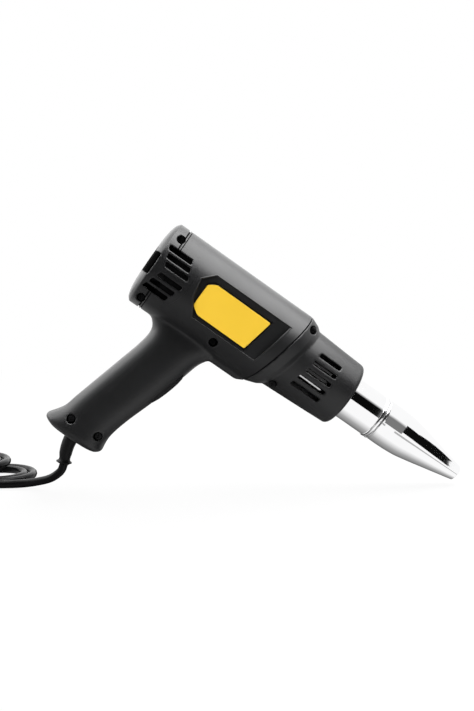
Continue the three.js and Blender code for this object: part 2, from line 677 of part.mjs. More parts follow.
[['cap_screw', CAP_SCREWS], ['nose_screw', NOSE_SCREWS]].forEach(([name, places]) => {
  places.forEach((place, i) => [-1, 1].forEach((side, k) =>
    screw(`${name}_${2 * i + k + 1}`, place, side, place[2] - FLOOR_UNDER_HEAD - THREAD + GAP)));
});
BODY_SCREWS.forEach((place, i) => screw(`body_screw_${i + 1}`, place, -1, -THREAD));

// Side plates, bare
const plateFace = panelFace + GAP;
piece('plate_right', prism(PLATE_OUTLINE, -plateFace - PLATE_THICK, -plateFace), YELLOW);
piece('plate_left', prism(PLATE_OUTLINE, plateFace, plateFace + PLATE_THICK), YELLOW);

// Hot end: flanged tube, pull-off reducer, insulating sleeve and heater
const tubeInner = TUBE_RADIUS - TUBE_WALL;
const flangeAt = BULKHEAD + BULKHEAD_THICK;
piece('barrel_tube', turned([
  [TUBE_REAR, tubeInner], [TUBE_REAR, TUBE_RADIUS], [flangeAt, TUBE_RADIUS], [flangeAt, FLANGE_RADIUS],
  [flangeAt + FLANGE, FLANGE_RADIUS], [flangeAt + FLANGE, TUBE_RADIUS],
  [TUBE_FRONT - BEAD_LENGTH, TUBE_RADIUS], [TUBE_FRONT - 0.75 * BEAD_LENGTH, TUBE_RADIUS + 0.8 * BEAD],
  [TUBE_FRONT - 0.5 * BEAD_LENGTH, TUBE_RADIUS + BEAD], [TUBE_FRONT - 0.2, TUBE_RADIUS + 0.6 * BEAD],
  [TUBE_FRONT, TUBE_RADIUS - 0.2], [TUBE_FRONT, tubeInner], [TUBE_REAR, tubeInner],
]), CHROME);

// Outer profile of the reducer from its collar to its mouth: [x, radius].
const REDUCER_PROFILE = [
  [222, 17.6], [230, 17.3], [238, 16.6], [246, 15.2], [255, 13.4], [263, 11.7], [280.5, 8],
  [REDUCER_TIP, 6.7],
];
// Its bore, from the mouth back to the collar.
const REDUCER_BORE = [[REDUCER_TIP, 5.9], [280.5, 7.2], [263, 10.9], [246, 14.4], [232, 16.3]];
const collarAt = TUBE_FRONT + GAP;
const spigotOuter = tubeInner - GAP;
piece('reducer_nozzle', turned([
  [collarAt - SPIGOT_LENGTH, spigotOuter - REDUCER_WALL], [collarAt - SPIGOT_LENGTH, spigotOuter],
  [collarAt, spigotOuter], [collarAt, REDUCER_RADIUS + 0.3], [collarAt + 1.2, REDUCER_RADIUS + 0.3],
  [collarAt + 1.8, REDUCER_RADIUS], ...REDUCER_PROFILE,
  ...REDUCER_BORE,
  [collarAt + 2, REDUCER_RADIUS - REDUCER_WALL - 0.4],
  [collarAt, spigotOuter - REDUCER_WALL],
  [collarAt - SPIGOT_LENGTH, spigotOuter - REDUCER_WALL],
]), CHROME);

const sleeveOuter = tubeInner - GAP;
const heaterRadius = sleeveOuter - SLEEVE_WALL - GAP;
piece('insulating_sleeve', ring(SLEEVE_REAR, SLEEVE_FRONT, sleeveOuter - SLEEVE_WALL, sleeveOuter,
  INNER_SIDES), MICA);
piece('air_funnel', turned([
  [FUNNEL_REAR, FUNNEL_RADIUS - FUNNEL_WALL], [FUNNEL_REAR, FUNNEL_RADIUS],
  [FUNNEL_REAR + 1.4, FUNNEL_RADIUS], [TUBE_REAR - 0.6, sleeveOuter],
  [SLEEVE_REAR - GAP, sleeveOuter], [SLEEVE_REAR - GAP, sleeveOuter - FUNNEL_WALL],
  [TUBE_REAR + 0.2, sleeveOuter - FUNNEL_WALL], [FUNNEL_REAR + 1, FUNNEL_RADIUS - FUNNEL_WALL],
  [FUNNEL_REAR, FUNNEL_RADIUS - FUNNEL_WALL],
], INNER_SIDES), WHITE_PLASTIC);

// A rim with four spokes, as at both ends of the heater.
const spoked = (from, to) => join(
  ring(from, to, heaterRadius - 1.8, heaterRadius, INNER_SIDES),
  block(from, to, -heaterRadius + 1, heaterRadius - 1, -1.6, 1.6),
  block(from, to, -1.6, 1.6, -heaterRadius + 1, heaterRadius - 1),
);
const crossAt = HEATER_REAR + HEATER_DISC + GAP;
const gridAt = crossAt + CROSS_LENGTH + GAP;
piece('heater_base', spoked(HEATER_REAR, HEATER_REAR + HEATER_DISC), MICA);
piece('heater_grid', spoked(gridAt, gridAt + 2.6), MICA);
piece('heater_cross', join(
  block(crossAt, crossAt + CROSS_LENGTH, -CROSS_RADIUS, CROSS_RADIUS, -CROSS_THICK / 2, CROSS_THICK / 2),
  block(crossAt, crossAt + CROSS_LENGTH, -CROSS_THICK / 2, CROSS_THICK / 2, -CROSS_RADIUS, CROSS_RADIUS),
), MICA);
const coilSteps = COIL_TURNS * 12;
const coilFrom = crossAt + 3;
piece('heating_coil', tubeThrough(Array.from({ length: coilSteps + 1 }, (_, i) => {
  const turn = (2 * Math.PI * i) / 12;
  const x = coilFrom + (i / coilSteps) * (CROSS_LENGTH - 6);
  return new THREE.Vector3(x, COIL_RADIUS * Math.cos(turn), COIL_RADIUS * Math.sin(turn));
}), COIL_WIRE / 2, 5), HEATING_WIRE);

// Motor, its mount and the fan
const motorFront = MOTOR_REAR + MOTOR_LENGTH;
const shaftBore = SHAFT_RADIUS + GAP;
const cupInner = MOTOR_RADIUS + GAP;
const spiderArms = [0, 1, 2, 3].map((k) => {
  const geometry = new THREE.BoxGeometry(3, 2.4, DUCT_RADIUS - 0.8 - cupInner - 0.8);
  geometry.translate(DUCT_FRONT - 1.5, 0, (DUCT_RADIUS - 0.8 + cupInner + 0.8) / 2);
  geometry.rotateX(Math.PI / 4 + (k * Math.PI) / 2);
  return solid(geometry);
});
piece('motor_mount', join(
  ring(DUCT_REAR, DUCT_FRONT, DUCT_RADIUS - DUCT_WALL, DUCT_RADIUS, INNER_SIDES),
  ring(DUCT_FRONT - 3, MOTOR_REAR + 6, cupInner, cupInner + 1.6, INNER_SIDES),
  ...spiderArms,
), CAP_PLASTIC);
piece('motor_can', cut(
  disc(MOTOR_REAR, motorFront, MOTOR_RADIUS, INNER_SIDES),
  disc(MOTOR_REAR - 1, motorFront - MOTOR_WALL, MOTOR_RADIUS - MOTOR_WALL, INNER_SIDES),
  disc(motorFront - 5, motorFront + 5, BUSH_RADIUS + GAP, BORE_SIDES),
), STEEL);
const endCapAt = MOTOR_REAR - GAP - END_CAP;
piece('motor_end_cap', ring(endCapAt, endCapAt + END_CAP, BUSH_RADIUS + GAP, MOTOR_RADIUS, INNER_SIDES),
  WHITE_PLASTIC);
piece('rectifier_board', ring(endCapAt - GAP - 1.6, endCapAt - GAP, 6, MOTOR_RADIUS - 1, INNER_SIDES),
  BOARD);
piece('rear_bush', ring(endCapAt - 0.4, endCapAt - 0.4 + BUSH_LENGTH, shaftBore, BUSH_RADIUS, BORE_SIDES),
  BRASS);
piece('front_bush', ring(motorFront - 2.6, motorFront - 2.6 + BUSH_LENGTH, shaftBore, BUSH_RADIUS,
  BORE_SIDES), BRASS);
const coreAt = motorFront - 5 - CORE_LENGTH;
const magnetOuter = MOTOR_RADIUS - MOTOR_WALL - GAP;
const magnetRing = ring(coreAt - 1, coreAt + CORE_LENGTH + 1, magnetOuter - MAGNET_THICK, magnetOuter,
  INNER_SIDES);
piece('magnet_upper', magnetRing.intersect(block(0, FAR, -12, 12, 4, 30)), FERRITE);
piece('magnet_lower', magnetRing.intersect(block(0, FAR, -12, 12, -30, -4)), FERRITE);
piece('rotor_core', ring(coreAt, coreAt + CORE_LENGTH, shaftBore, CORE_RADIUS, INNER_SIDES), COPPER);
piece('commutator', ring(MOTOR_REAR + 1.4, coreAt - GAP, shaftBore, 4, BORE_SIDES), COPPER);
const brushFrom = 4 + GAP;
piece('brush_right', block(MOTOR_REAR, MOTOR_REAR + 3.6, -brushFrom - 6, -brushFrom, -1.6, 1.6), FERRITE);
piece('brush_left', block(MOTOR_REAR, MOTOR_REAR + 3.6, brushFrom, brushFrom + 6, -1.6, 1.6), FERRITE);
piece('motor_shaft', disc(SHAFT_REAR, SHAFT_FRONT, SHAFT_RADIUS, BORE_SIDES), STEEL);

function fanBlade(turn) {
  const rings = [FAN_HUB - 1.5, (FAN_HUB + FAN_RADIUS) / 2, FAN_RADIUS].map((radius, i) => {
    const twist = BLADE_TWIST + i * 0.16;
    const half = FAN_LENGTH / 2 / Math.cos(twist) - 0.6;
    return [[-half, -1], [half, -1], [half, 1], [-half, 1]].map(([along, face]) => {
      const x = along * Math.cos(twist) - face * (BLADE_THICK / 2) * Math.sin(twist);
      const y = along * Math.sin(twist) + face * (BLADE_THICK / 2) * Math.cos(twist);
      const z = Math.sqrt(radius * radius - y * y);
      return new THREE.Vector3(FAN_REAR + FAN_LENGTH / 2 + x, y, z);
    });
  });
  const geometry = loft(rings);
  geometry.rotateX(turn);
  return solid(geometry);
}
const fanBlades = Array.from({ length: FAN_BLADES }, (_, k) => fanBlade((2 * Math.PI * k) / FAN_BLADES));
piece('fan_wheel', cut(
  join(
    turned([[FAN_REAR, 0], [FAN_REAR, FAN_HUB - 1.6], [FAN_REAR + 1.6, FAN_HUB],
      [FAN_REAR + FAN_LENGTH, FAN_HUB], [FAN_REAR + FAN_LENGTH, 0]], INNER_SIDES),
    ...fanBlades,
  ),
  disc(FAN_REAR - 5, FAN_REAR + FAN_LENGTH + 5, shaftBore, BORE_SIDES),
), CAP_PLASTIC);

// Three-way rocker switch, drawn in its own frame
const pivotX = BEZEL_PROUD - ROCKER_PIVOT;
const pinHole = crossBar(pivotX, 0, -9.2, 9.2, PIN_RADIUS + GAP, 10);
piece('switch_body', inSwitchFrame(cut(
  join(
    switchBlock(bezelBack, BEZEL_PROUD, BEZEL_WIDTH, BEZEL_LENGTH),
    switchBlock(-SWITCH_DEPTH, bezelBack + 0.5, SWITCH_BOX_WIDTH, SWITCH_BOX_LENGTH),
  ),
  switchBlock(pivotX - 5, FAR / 4, ROCKER_WIDTH + 2 * GAP, 26.4),
  crossBar(pivotX, 0, -8.5, 8.5, PIN_RADIUS + GAP, 10),
)), CAP_PLASTIC);
const halfRocker = ROCKER_LENGTH / 2;
piece('switch_rocker', inSwitchFrame(cut(
  prism([
    [5.2, -halfRocker], [3.5, 0], [5.2, halfRocker], [0.5, halfRocker], [-3.4, 4], [-3.4, -4],
    [0.5, -halfRocker],
  ].map(([x, z]) => [pivotX + x, z]), -ROCKER_WIDTH / 2, ROCKER_WIDTH / 2),
  pinHole,
)), RUBBER);
piece('rocker_pin', inSwitchFrame(crossBar(pivotX, 0, -8.2, 8.2, PIN_RADIUS, 10)), STEEL);
const terminalAt = -SWITCH_DEPTH - GAP;
[-9, 0, 9].forEach((z, i) => piece(`switch_terminal_${i + 1}`,
  inSwitchFrame(block(terminalAt - 6.5, terminalAt, -2.4, 2.4, z - 0.4, z + 0.4)), BRASS));

// Strain relief: a collar held in the foot and a sleeve that droops with the lead
const reliefPath = [
  new THREE.Vector3(RELIEF_X, 0, RELIEF_COLLAR_TOP), new THREE.Vector3(RELIEF_X, 0, FOOT_BOTTOM + 2),
];
const reliefSteps = 6;
for (let i = 1; i <= reliefSteps; i += 1) {
  const turn = (RELIEF_TURN * i) / reliefSteps;
  reliefPath.push(new THREE.Vector3(RELIEF_X + RELIEF_BEND * (1 - Math.cos(turn)), 0,
    FOOT_BOTTOM + 2 - RELIEF_BEND * Math.sin(turn)));
}
const reliefHeading = new THREE.Vector3(Math.sin(RELIEF_TURN), 0, -Math.cos(RELIEF_TURN));
const reliefEnd = reliefPath[reliefPath.length - 1].clone().addScaledVector(reliefHeading, RELIEF_STRAIGHT);
const lipFull = reliefEnd.clone().addScaledVector(reliefHeading, -RELIEF_LIP_LENGTH);
const lipFrom = reliefEnd.clone().addScaledVector(reliefHeading, -2 * RELIEF_LIP_LENGTH);
const reliefRadii = reliefPath.map((_, i) =>
  THREE.MathUtils.lerp(RELIEF_ROOT, RELIEF_END, Math.max(0, i - 1) / reliefSteps));
const pastRelief = reliefEnd.clone().addScaledVector(reliefHeading, 1.5);
const reliefBore = [
  reliefPath[0].clone().setZ(RELIEF_COLLAR_TOP + 1), ...reliefPath.slice(1), pastRelief,
];
piece('strain_relief', cut(
  join(
    solid(tubeThrough([...reliefPath, lipFrom, lipFull, reliefEnd],
      [...reliefRadii, RELIEF_END, RELIEF_LIP, RELIEF_LIP - 0.5], 16)),
    upright(RELIEF_X, FOOT_BOTTOM + WALL, RELIEF_COLLAR_TOP, RELIEF_COLLAR),
  ),
  solid(tubeThrough(reliefBore, CORD / 2 + GAP, 12)),
), RUBBER);

// Insulated conductors inside the handle, from the lead's cut end to the switch and the motor
const LIVE_ROUTE = [
  [24.4, -1.6, -120.6], [24.4, -1.7, -115], [25, -3.5, -104], [25.6, -3, -90], [26, -1, -79],
  [29.5, 0, -73.4], [35.2, 0, -75.1],
];
const NEUTRAL_ROUTE = [
  [24.4, 1.6, -120.6], [24.4, 1.7, -115], [28, 5.5, -104], [32, 9.4, -86], [38, 10.4, -66],
  [46, 8, -47], [53, 3.5, -36], [57, 0, -27], [57, 0, -19.75],
];
const conductor = (route) => {
  const curve = new THREE.CatmullRomCurve3(route.map((p) => new THREE.Vector3(...p)));
  return tubeThrough(curve.getSpacedPoints(route.length * 2), 1.2, 6);
};
piece('live_lead', conductor(LIVE_ROUTE), RED_SLEEVE);
piece('neutral_lead', conductor(NEUTRAL_ROUTE), BLUE_SLEEVE);

// The tool as it is held
tool.rotation.y = PITCH;
tool.position.copy(GRIP).applyEuler(tool.rotation).negate();
tool.updateMatrixWorld(true);

// Lead from inside the foot down to the surface and up to the hank, through hand-chosen points
const onTable = TABLE + CORD / 2 + 0.1;
const inTool = (x, z) => new THREE.Vector3(x, 0, z).applyMatrix4(tool.matrixWorld);
const reliefMiddle = reliefPath.slice(3, -1);
const RUN_ROUTE = [
  inTool(RELIEF_X, -121), inTool(RELIEF_X, -132), inTool(RELIEF_X, FOOT_BOTTOM + 2),
  ...reliefMiddle.map((p) => inTool(p.x, p.z)),
  inTool(lipFrom.x, lipFrom.z),
  inTool(pastRelief.x, pastRelief.z),
  new THREE.Vector3(-55.9, 2.1, -67.3),
  new THREE.Vector3(-64.4, 6.1, -74.3),
  new THREE.Vector3(-75.3, 11.2, -77.2),
  new THREE.Vector3(-83.6, 14, -78.2),
  new THREE.Vector3(-93, HANK_FRONT, onTable),
  new THREE.Vector3(HANK_START + GAP, HANK_FRONT, onTable),
];
const cordSection = new THREE.Shape(Array.from({ length: 10 }, (_, k) =>
  new THREE.Vector2(Math.cos(k * Math.PI / 5), Math.sin(k * Math.PI / 5)).multiplyScalar(CORD / 2)));
piece('cord_run', new THREE.ExtrudeGeometry(cordSection, {
  steps: 26, bevelEnabled: false, extrudePath: new THREE.CatmullRomCurve3(RUN_ROUTE),
}), CORD_JACKET, model);

// Hank: the lead folded back and forth in two layers, spiralling in below and out above
const hankLeft = HANK_RIGHT - HANK_RUN;
const upperRight = HANK_RIGHT - HANK_BACK;
const hankMiddleY = HANK_FRONT + HANK_OUTER;
const runSteps = 9;
const waistStep = 5; // the waist is at this step of the lower runs
const hankMiddleX = HANK_RIGHT - (waistStep / runSteps) * HANK_RUN;
const hank = [new THREE.Vector3(HANK_START, HANK_FRONT, onTable)];

function hankPoint(x, out, height) {
  const off = Math.min(1, Math.abs(x - hankMiddleX) / HANK_WAIST_HALF);
  const ease = (1 + Math.cos(Math.PI * off)) / 2;
  const y = out - Math.sign(out) * HANK_WAIST * ease;
  hank.push(new THREE.Vector3(x, hankMiddleY + y, height + HANK_LIFT * ease));
}

function hankRun(side, out, right, from, to) {
  for (let i = 0; i < runSteps; i += 1) {
    const t = i / runSteps;
    const x = THREE.MathUtils.lerp(right, hankLeft, side < 0 ? t : 1 - t);
    hankPoint(x, side * out, THREE.MathUtils.lerp(from, to, t * t * (3 - 2 * t)));
  }
}

const foldSteps = 8;
function hankFold(side, from, to, right, height) {
  for (let i = 0; i < foldSteps; i += 1) {
    const turn = Math.PI * (i / foldSteps);
    const out = THREE.MathUtils.lerp(from, to, i / foldSteps);
    const centre = side < 0 ? hankLeft : right;
    hank.push(new THREE.Vector3(centre + side * out * Math.sin(turn),
      hankMiddleY + side * out * Math.cos(turn), height));
  }
}

const upper = onTable + HANK_STEP;
const half = HANK_STEP / 2;
let out = HANK_OUTER;
for (let k = 0; k < 2; k += 1) {
  hankRun(-1, out, HANK_RIGHT, onTable, onTable);
  hankFold(-1, out, out - half, HANK_RIGHT, onTable);
  hankRun(1, out - half, HANK_RIGHT, onTable, onTable);
  hankFold(1, out - half, out - HANK_STEP, HANK_RIGHT, onTable);
  out -= HANK_STEP;
}
hankRun(-1, out, HANK_RIGHT, onTable, upper);
for (let k = 0; k < 2; k += 1) {
  hankFold(-1, out, out + half, upperRight, upper);
  hankRun(1, out + half, upperRight, upper, upper);
  hankFold(1, out + half, out + HANK_STEP, upperRight, upper);
  out += HANK_STEP;
  hankRun(-1, out, upperRight, upper, upper);
}
const plugAt = hankLeft - HANK_OUTER - PLUG_CLEAR;
const hankEnd = plugAt - 10;
const tailSteps = 4;
for (let i = 0; i <= tailSteps; i += 1) {
  hankPoint(THREE.MathUtils.lerp(hankLeft, hankEnd, i / tailSteps), -HANK_OUTER, upper);
}
piece('cord_hank', tubeThrough(hank, CORD / 2, 6), CORD_JACKET, model);
const hankGap = leastGap(hank, CORD);
console.log(`hank ${hankGap.length.toFixed(0)} mm long, least gap ${hankGap.least.toFixed(2)} mm`);
console.log(`lead ${new THREE.CatmullRomCurve3(RUN_ROUTE).getLength().toFixed(0)} mm long`);

// Wire tie round the waist of the hank
const tieClear = CORD / 2 + 3 * GAP + TIE_WIRE;
const tieFront = hankMiddleY - HANK_OUTER + HANK_WAIST - tieClear;
const tieBack = hankMiddleY + HANK_OUTER - half - HANK_WAIST + tieClear;
const tieLow = onTable + HANK_LIFT - tieClear;
const tieHigh = upper + HANK_LIFT + tieClear;
const tieCorner = 3;
const tieOutline = [
  [tieFront + tieCorner, tieLow], [tieBack - tieCorner, tieLow], [tieBack, tieLow + tieCorner],
  [tieBack, tieHigh - tieCorner], [tieBack - tieCorner, tieHigh], [tieFront + tieCorner, tieHigh],
  [tieFront, tieHigh - tieCorner], [tieFront, tieLow + tieCorner],
];
const tieBand = (grow) => {
  const shape = new THREE.Shape(tieOutline.map(([y, z]) => new THREE.Vector2(
    y + Math.sign(y - hankMiddleY) * grow, z + Math.sign(z - (tieLow + tieHigh) / 2) * grow)));
  const width = 3;
  const geometry = new THREE.ExtrudeGeometry(shape, { depth: width, bevelEnabled: false });
  geometry.applyMatrix4(new THREE.Matrix4().makeBasis(
    new THREE.Vector3(0, 1, 0), new THREE.Vector3(0, 0, 1), new THREE.Vector3(1, 0, 0)));
  geometry.translate(hankMiddleX - width / 2, 0, 0);
  return solid(geometry);
};
piece('hank_tie', cut(tieBand(TIE_WIRE), tieBand(-TIE_WIRE)), RUBBER, model);

// Two-pin plug, lying flat at the end of the lead
const plugY = HANK_FRONT;
const plugZ = TABLE + PLUG_THICK / 2 + 0.1;
function plugSection(back, wide, high, power) {
  return Array.from({ length: 20 }, (_, k) => {
    const turn = (2 * Math.PI * k) / 20;
    const bulge = (t) => Math.sign(t) * Math.abs(t) ** (2 / power);
    return new THREE.Vector3(plugAt - back, plugY - wide * bulge(Math.cos(turn)),
      plugZ + high * bulge(Math.sin(turn)));
  });
}
const plugFace = PLUG_BOOT + PLUG_LENGTH;
const alongX = (from, to, y, radius, sides) => {
  const geometry = geometryOf(disc(from, to, radius, sides));
  geometry.translate(0, y, plugZ);
  return solid(geometry);
};
const pinRoot = 6;
const pinPlaces = [plugY - PIN_PITCH / 2, plugY + PIN_PITCH / 2];
piece('plug_body', cut(
  solid(loft([
    plugSection(0, 4.6, 4.6, 2), plugSection(PLUG_BOOT - 2, 5.8, 5.8, 2),
    plugSection(PLUG_BOOT, 8.5, 7.6, 2.2), plugSection(PLUG_BOOT + 6, 15.4, 9.8, 2.6),
    plugSection(PLUG_BOOT + 14, PLUG_WIDTH / 2, PLUG_THICK / 2, 3),
    plugSection(plugFace - 1.5, PLUG_WIDTH / 2, PLUG_THICK / 2, 3),
    plugSection(plugFace, PLUG_WIDTH / 2 - 1.2, PLUG_THICK / 2 - 1.2, 3),
  ])),
  alongX(hankEnd - GAP, plugAt + 5, plugY, CORD / 2 + GAP + 0.2, 12),
  ...pinPlaces.map((y) => alongX(plugAt - plugFace - 5, plugAt - plugFace + pinRoot, y,
    PLUG_PIN_RADIUS + GAP, 12)),
), CAP_PLASTIC, model);
pinPlaces.forEach((y, i) => {
  const tip = plugAt - plugFace - PLUG_PIN_LENGTH;
  const geometry = geometryOf(turned([
    [tip, 0], [tip, PLUG_PIN_RADIUS - 1], [tip + 1.4, PLUG_PIN_RADIUS],
    [plugAt - plugFace + pinRoot - GAP, PLUG_PIN_RADIUS], [plugAt - plugFace + pinRoot - GAP, 0],
  ], 12));
  geometry.translate(0, y, plugZ);
  piece(`plug_pin_${i + 1}`, geometry, BRASS, model);
});

model.updateMatrixWorld(true);
export default model;
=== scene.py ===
"""Pistol-shaped hot air tool: moulded shells, chromed barrel and reducer, switch, lead and plug."""

import math
from types import SimpleNamespace

import bmesh
import bpy
from bpy.props import FloatProperty, FloatVectorProperty, IntProperty, PointerProperty
from mathutils import Matrix, Vector


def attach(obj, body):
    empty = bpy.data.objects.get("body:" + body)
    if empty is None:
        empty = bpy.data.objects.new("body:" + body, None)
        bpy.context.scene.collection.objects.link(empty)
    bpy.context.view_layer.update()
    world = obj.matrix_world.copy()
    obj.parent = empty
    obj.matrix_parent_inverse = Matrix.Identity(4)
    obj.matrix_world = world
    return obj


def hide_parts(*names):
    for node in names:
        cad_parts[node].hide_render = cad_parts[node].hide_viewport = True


bl_info = {
    "name": "Hot air tool",
    "version": (1, 0, 0),
    "blender": (4, 5, 0),
    "location": "View3D > Sidebar > Hot air tool",
    "description": "Builds the looks of a pistol-shaped hot air tool over its solid model",
    "category": "Add Mesh",
}

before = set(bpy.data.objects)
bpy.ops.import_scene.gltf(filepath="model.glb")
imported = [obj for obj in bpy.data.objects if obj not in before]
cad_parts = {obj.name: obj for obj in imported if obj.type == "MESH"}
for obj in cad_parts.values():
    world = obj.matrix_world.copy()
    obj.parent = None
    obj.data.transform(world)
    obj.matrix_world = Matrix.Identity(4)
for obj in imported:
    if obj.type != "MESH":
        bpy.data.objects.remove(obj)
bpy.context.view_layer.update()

# Lengths below are millimetres in the tool's own axes: x along the barrel from the rear rim towards
# the nozzle, z away from the handle, y sideways.
MM = 0.001
GAP = 0.3
WALL = 2.5
# Planes clear of every form: sideways, behind, ahead, below and above.
FAR, BEHIND, AHEAD, BELOW, ABOVE = 120.0, -60, 200, -200, 100

# Names of the two sides with the sign of y, and half the gap between the housing halves.
SIDES = (("right", -1), ("left", 1))
HALF_GAP = 0.15
BODY_REAR, BODY_FRONT = -4, 140

# Handle sections: height, rear, front, half width.
HANDLE_SECTIONS = (
    (-24, 15, 84, 14), (-33.5, 19.5, 79.5, 16), (-39, 24.8, 75, 16.8), (-46, 26.8, 71, 17.2),
    (-58, 24.9, 67.7, 17.3), (-72, 21.1, 63.8, 17.3), (-90, 16.1, 58.4, 17.2), (-106, 11.7, 52.8, 17.2),
    (-118, 8.4, 49.2, 17.4), (-127, 6.2, 47.3, 17.8), (-133, 2.6, 47.2, 18.6), (-138, -1.1, 47.9, 19.4),
    (-140.4, -2.4, 48.1, 19.4), (-142.4, 0.6, 46.6, 18.3), (-144.2, 5, 43.5, 16.2), (-147, 9, 40.5, 14),
)
HANDLE_POWER = 2.7
FOOT_BOTTOM, FOOT_TOP, HANDLE_CLEAR = -143.6, -140, -46
KEEL_DEPTH, KEEL_HALF_WIDTH, KEEL_ROOT, KEEL_REAR = 3.1, 9.5, -25, 72

# Screw places: x, z, depth of the head's seat from the middle plane.
CAP_SCREWS = ((6.6, 24.2, 16.5), (6.6, -27, 12.5))
NOSE_SCREWS = ((125.7, 26.1, 13.5), (124.4, -24.5, 13))
BODY_SCREWS = ((68.6, -24, 15), (15.4, -130.8, 12), (39.1, -130.8, 12))
SCREW_BORE, BODY_BORE = 3.25, 3.4
HEAD_HEIGHT, CROSS_HALF_LENGTH, CROSS_HALF_WIDTH = 2.2, 1.6, 0.42
SHANK_LENGTH, SHANK_RADIUS, BODY_SCREW_TIP = 9.9, 1.4, -8
POCKET_RADIUS, POCKET_FLOOR, CAP_BOSS = 4.9, 2.2, 6

# Outlines on the sides of the body: x, z.
PLATE_OUTLINE = ((40.5, -9.6), (46.9, -14), (89.2, -14.5), (94.9, 11.7), (46.5, 12.1), (40.9, 8.5))
PANEL_OUTLINE = ((46.8, -21), (100.1, -21), (109.9, 21), (45.5, 21), (34, 9.3), (36.8, -5))
PANEL_EDGE = ((45, -17.9), (100.8, -17.9), (109.2, 17.9), (42.6, 17.9), (34, 9.3), (36.8, -5))
PANEL_BEAD, PANEL_BEAD_SUNK = 0.65, 0.2
PLATE_MIDDLE, PLATE_BED_GROWTH, PLATE_BED_DEPTH = (67.7, -1.2), (1.05, 1.11), 1.6
PLATE_THICKNESS, PLATE_CORNER = 1.1, 1.4

# Rear cap: outer dome and hollow as x and radius, its slots, inlet and tongues.
CAP_DOME = (
    (-4.6, 0), (-4.6, 16), (-4.4, 20), (-3.9, 24), (-3.4, 27), (-2.6, 30), (-1.7, 32.2), (-0.6, 33.6),
    (0, 34.3),
)
CAP_HOLLOW = ((-2.2, 0), (-2.2, 16), (-1.5, 23.4), (0, 29))
CAP_WALL = 2.4
SIDE_SLOT_HEIGHTS = (-17.4, -11.9, -5.6, 3.1, 8.9, 14.7)
SIDE_SLOT_MIDDLE = -1.3
SIDE_SLOT_HALF, SIDE_SLOT_LENGTH, SIDE_SLOT_FLOOR = 1.85, 19.6, 21.2
SIDE_SLOT_REAR, SIDE_SLOT_SWEEP = 9, 0.39
TAIL_SLOT_PITCH, TAIL_SLOT_FRONT, TAIL_SLOT_HALF_WIDTH, TAIL_SLOT_HALF_HEIGHT = 7, 1, 1.7, 10.5
INLET_HALF, INLET_FLOOR, INLET_FRONT = 8.8, 27, 0.8
BAFFLE_REAR, BAFFLE_FRONT, BAFFLE_INNER, BAFFLE_OUTER = -3.6, 15, 17.6, 19.2
TONGUE_HALF, TONGUE_FRONT, TONGUE_BOW = 20.5, 25.5, 24
TONGUE_RING_REAR, TONGUE_RING_FRONT = 4.8, 36

# Rear seam: radii of the lip behind it, of the lip's room and of the housing's rebate, then the fine
# grooves as start and end from the seam and floor radius, and the heights between which they stop.
LIP_INNER, LIP_OUTER, LIP_ROOM, REAR_REBATE = 31.2, 33.7, 33.8, 33.95
LIP_REAR, LIP_FRONT, REBATE_FRONT = 4, 14, 15.5
SEAM_GROOVES = ((-0.6, 0.5, 33.72), (1.5, 2.2, 34.15))
GROOVE_OUTER, GROOVE_STOPS = 44, (-18, 16)

# Nose: shoulder as distance from the seam and radius, front edge as distance from the face and radius.
NOSE_SHOULDER = ((0, 34.7), (0.4, 34.64), (3.8, 33.54), (8.8, 31.68), (12.7, 28.9))
SHOULDER_END, SHOULDER_RADIUS = NOSE_SHOULDER[-1]
NOSE_EDGE = ((2.6, 26.7), (1.6, 26.4), (0.8, 25.8), (0.2, 25), (0, 24.1))
NOSE_STATIONS = (130, 138, 146, 154, 162)
NOSE_SQUARE_AT = 158.8
FRONT_LIP_INNER, FRONT_LIP_OUTER, FRONT_REBATE = 31, 32.8, 33.4
NOSE_SLOT_HEIGHTS = (-14.7, -8, -0.7, 6.6, 13.8)
NOSE_SLOT_REAR, NOSE_SLOT_FRONT, NOSE_SLOT_HALF = 136.8, 159.1, 1.6
NOSE_SLOT_LEAN, NOSE_SLOT_SKEW, NOSE_SLOT_FLOOR = 0.22, 0.35, 10

# Barrel and reducer as x and radius; the collar's x counts from the tube's end.
TUBE_REAR, TUBE_WALL = 92, 0.8
FLANGE_REAR, FLANGE_FRONT, FLANGE_RADIUS = 101.6, 103.2, 23
TUBE_BEAD_LENGTH, TUBE_BEAD_HEIGHT = 3.2, 0.6
SPIGOT_LENGTH, SPIGOT_RADIUS, SPIGOT_BORE = 20, 16.4, 15.6
COLLAR = ((0, 17.6), (0.3, 17.85), (0.7, 17.9), (1.2, 17.85), (1.6, 17.65), (2, 17.6), (6, 17.6))
REDUCER_PROFILE = (
    (222, 17.6), (230, 17.3), (238, 16.6), (246, 15.2), (255, 13.4), (263, 11.7), (280.5, 8), (287.5, 6.45),
)
REDUCER_BORE = ((287.5, 5.9), (280.5, 7.2), (263, 10.9), (246, 14.4), (232, 16.3))

# Switch, in its own axes: x out of the handle and z up along its front edge.
PIVOT = -4.3
RAIL_HALF_OUTLINE = ((0.8, 3), (0.5, 9), (-0.3, 14), (-1.5, 16.9), (-2.3, 16.9))
RAIL_HALF_WIDTH = 10.5
KEY_OUTLINE = (
    (4.5, -11.5), (4.3, -8), (3.9, -4), (3.7, 0), (3.9, 4), (4.3, 8), (4.5, 11.5), (0.5, 11.5), (-3.4, 4),
    (-3.4, -4), (0.5, -11.5),
)
KEY_HALF_WIDTH, KEY_PIN_BORE = 6.3, 1.4
KEY_GROOVES = (-8.4, -7.2, -6, 6, 7.2, 8.4)

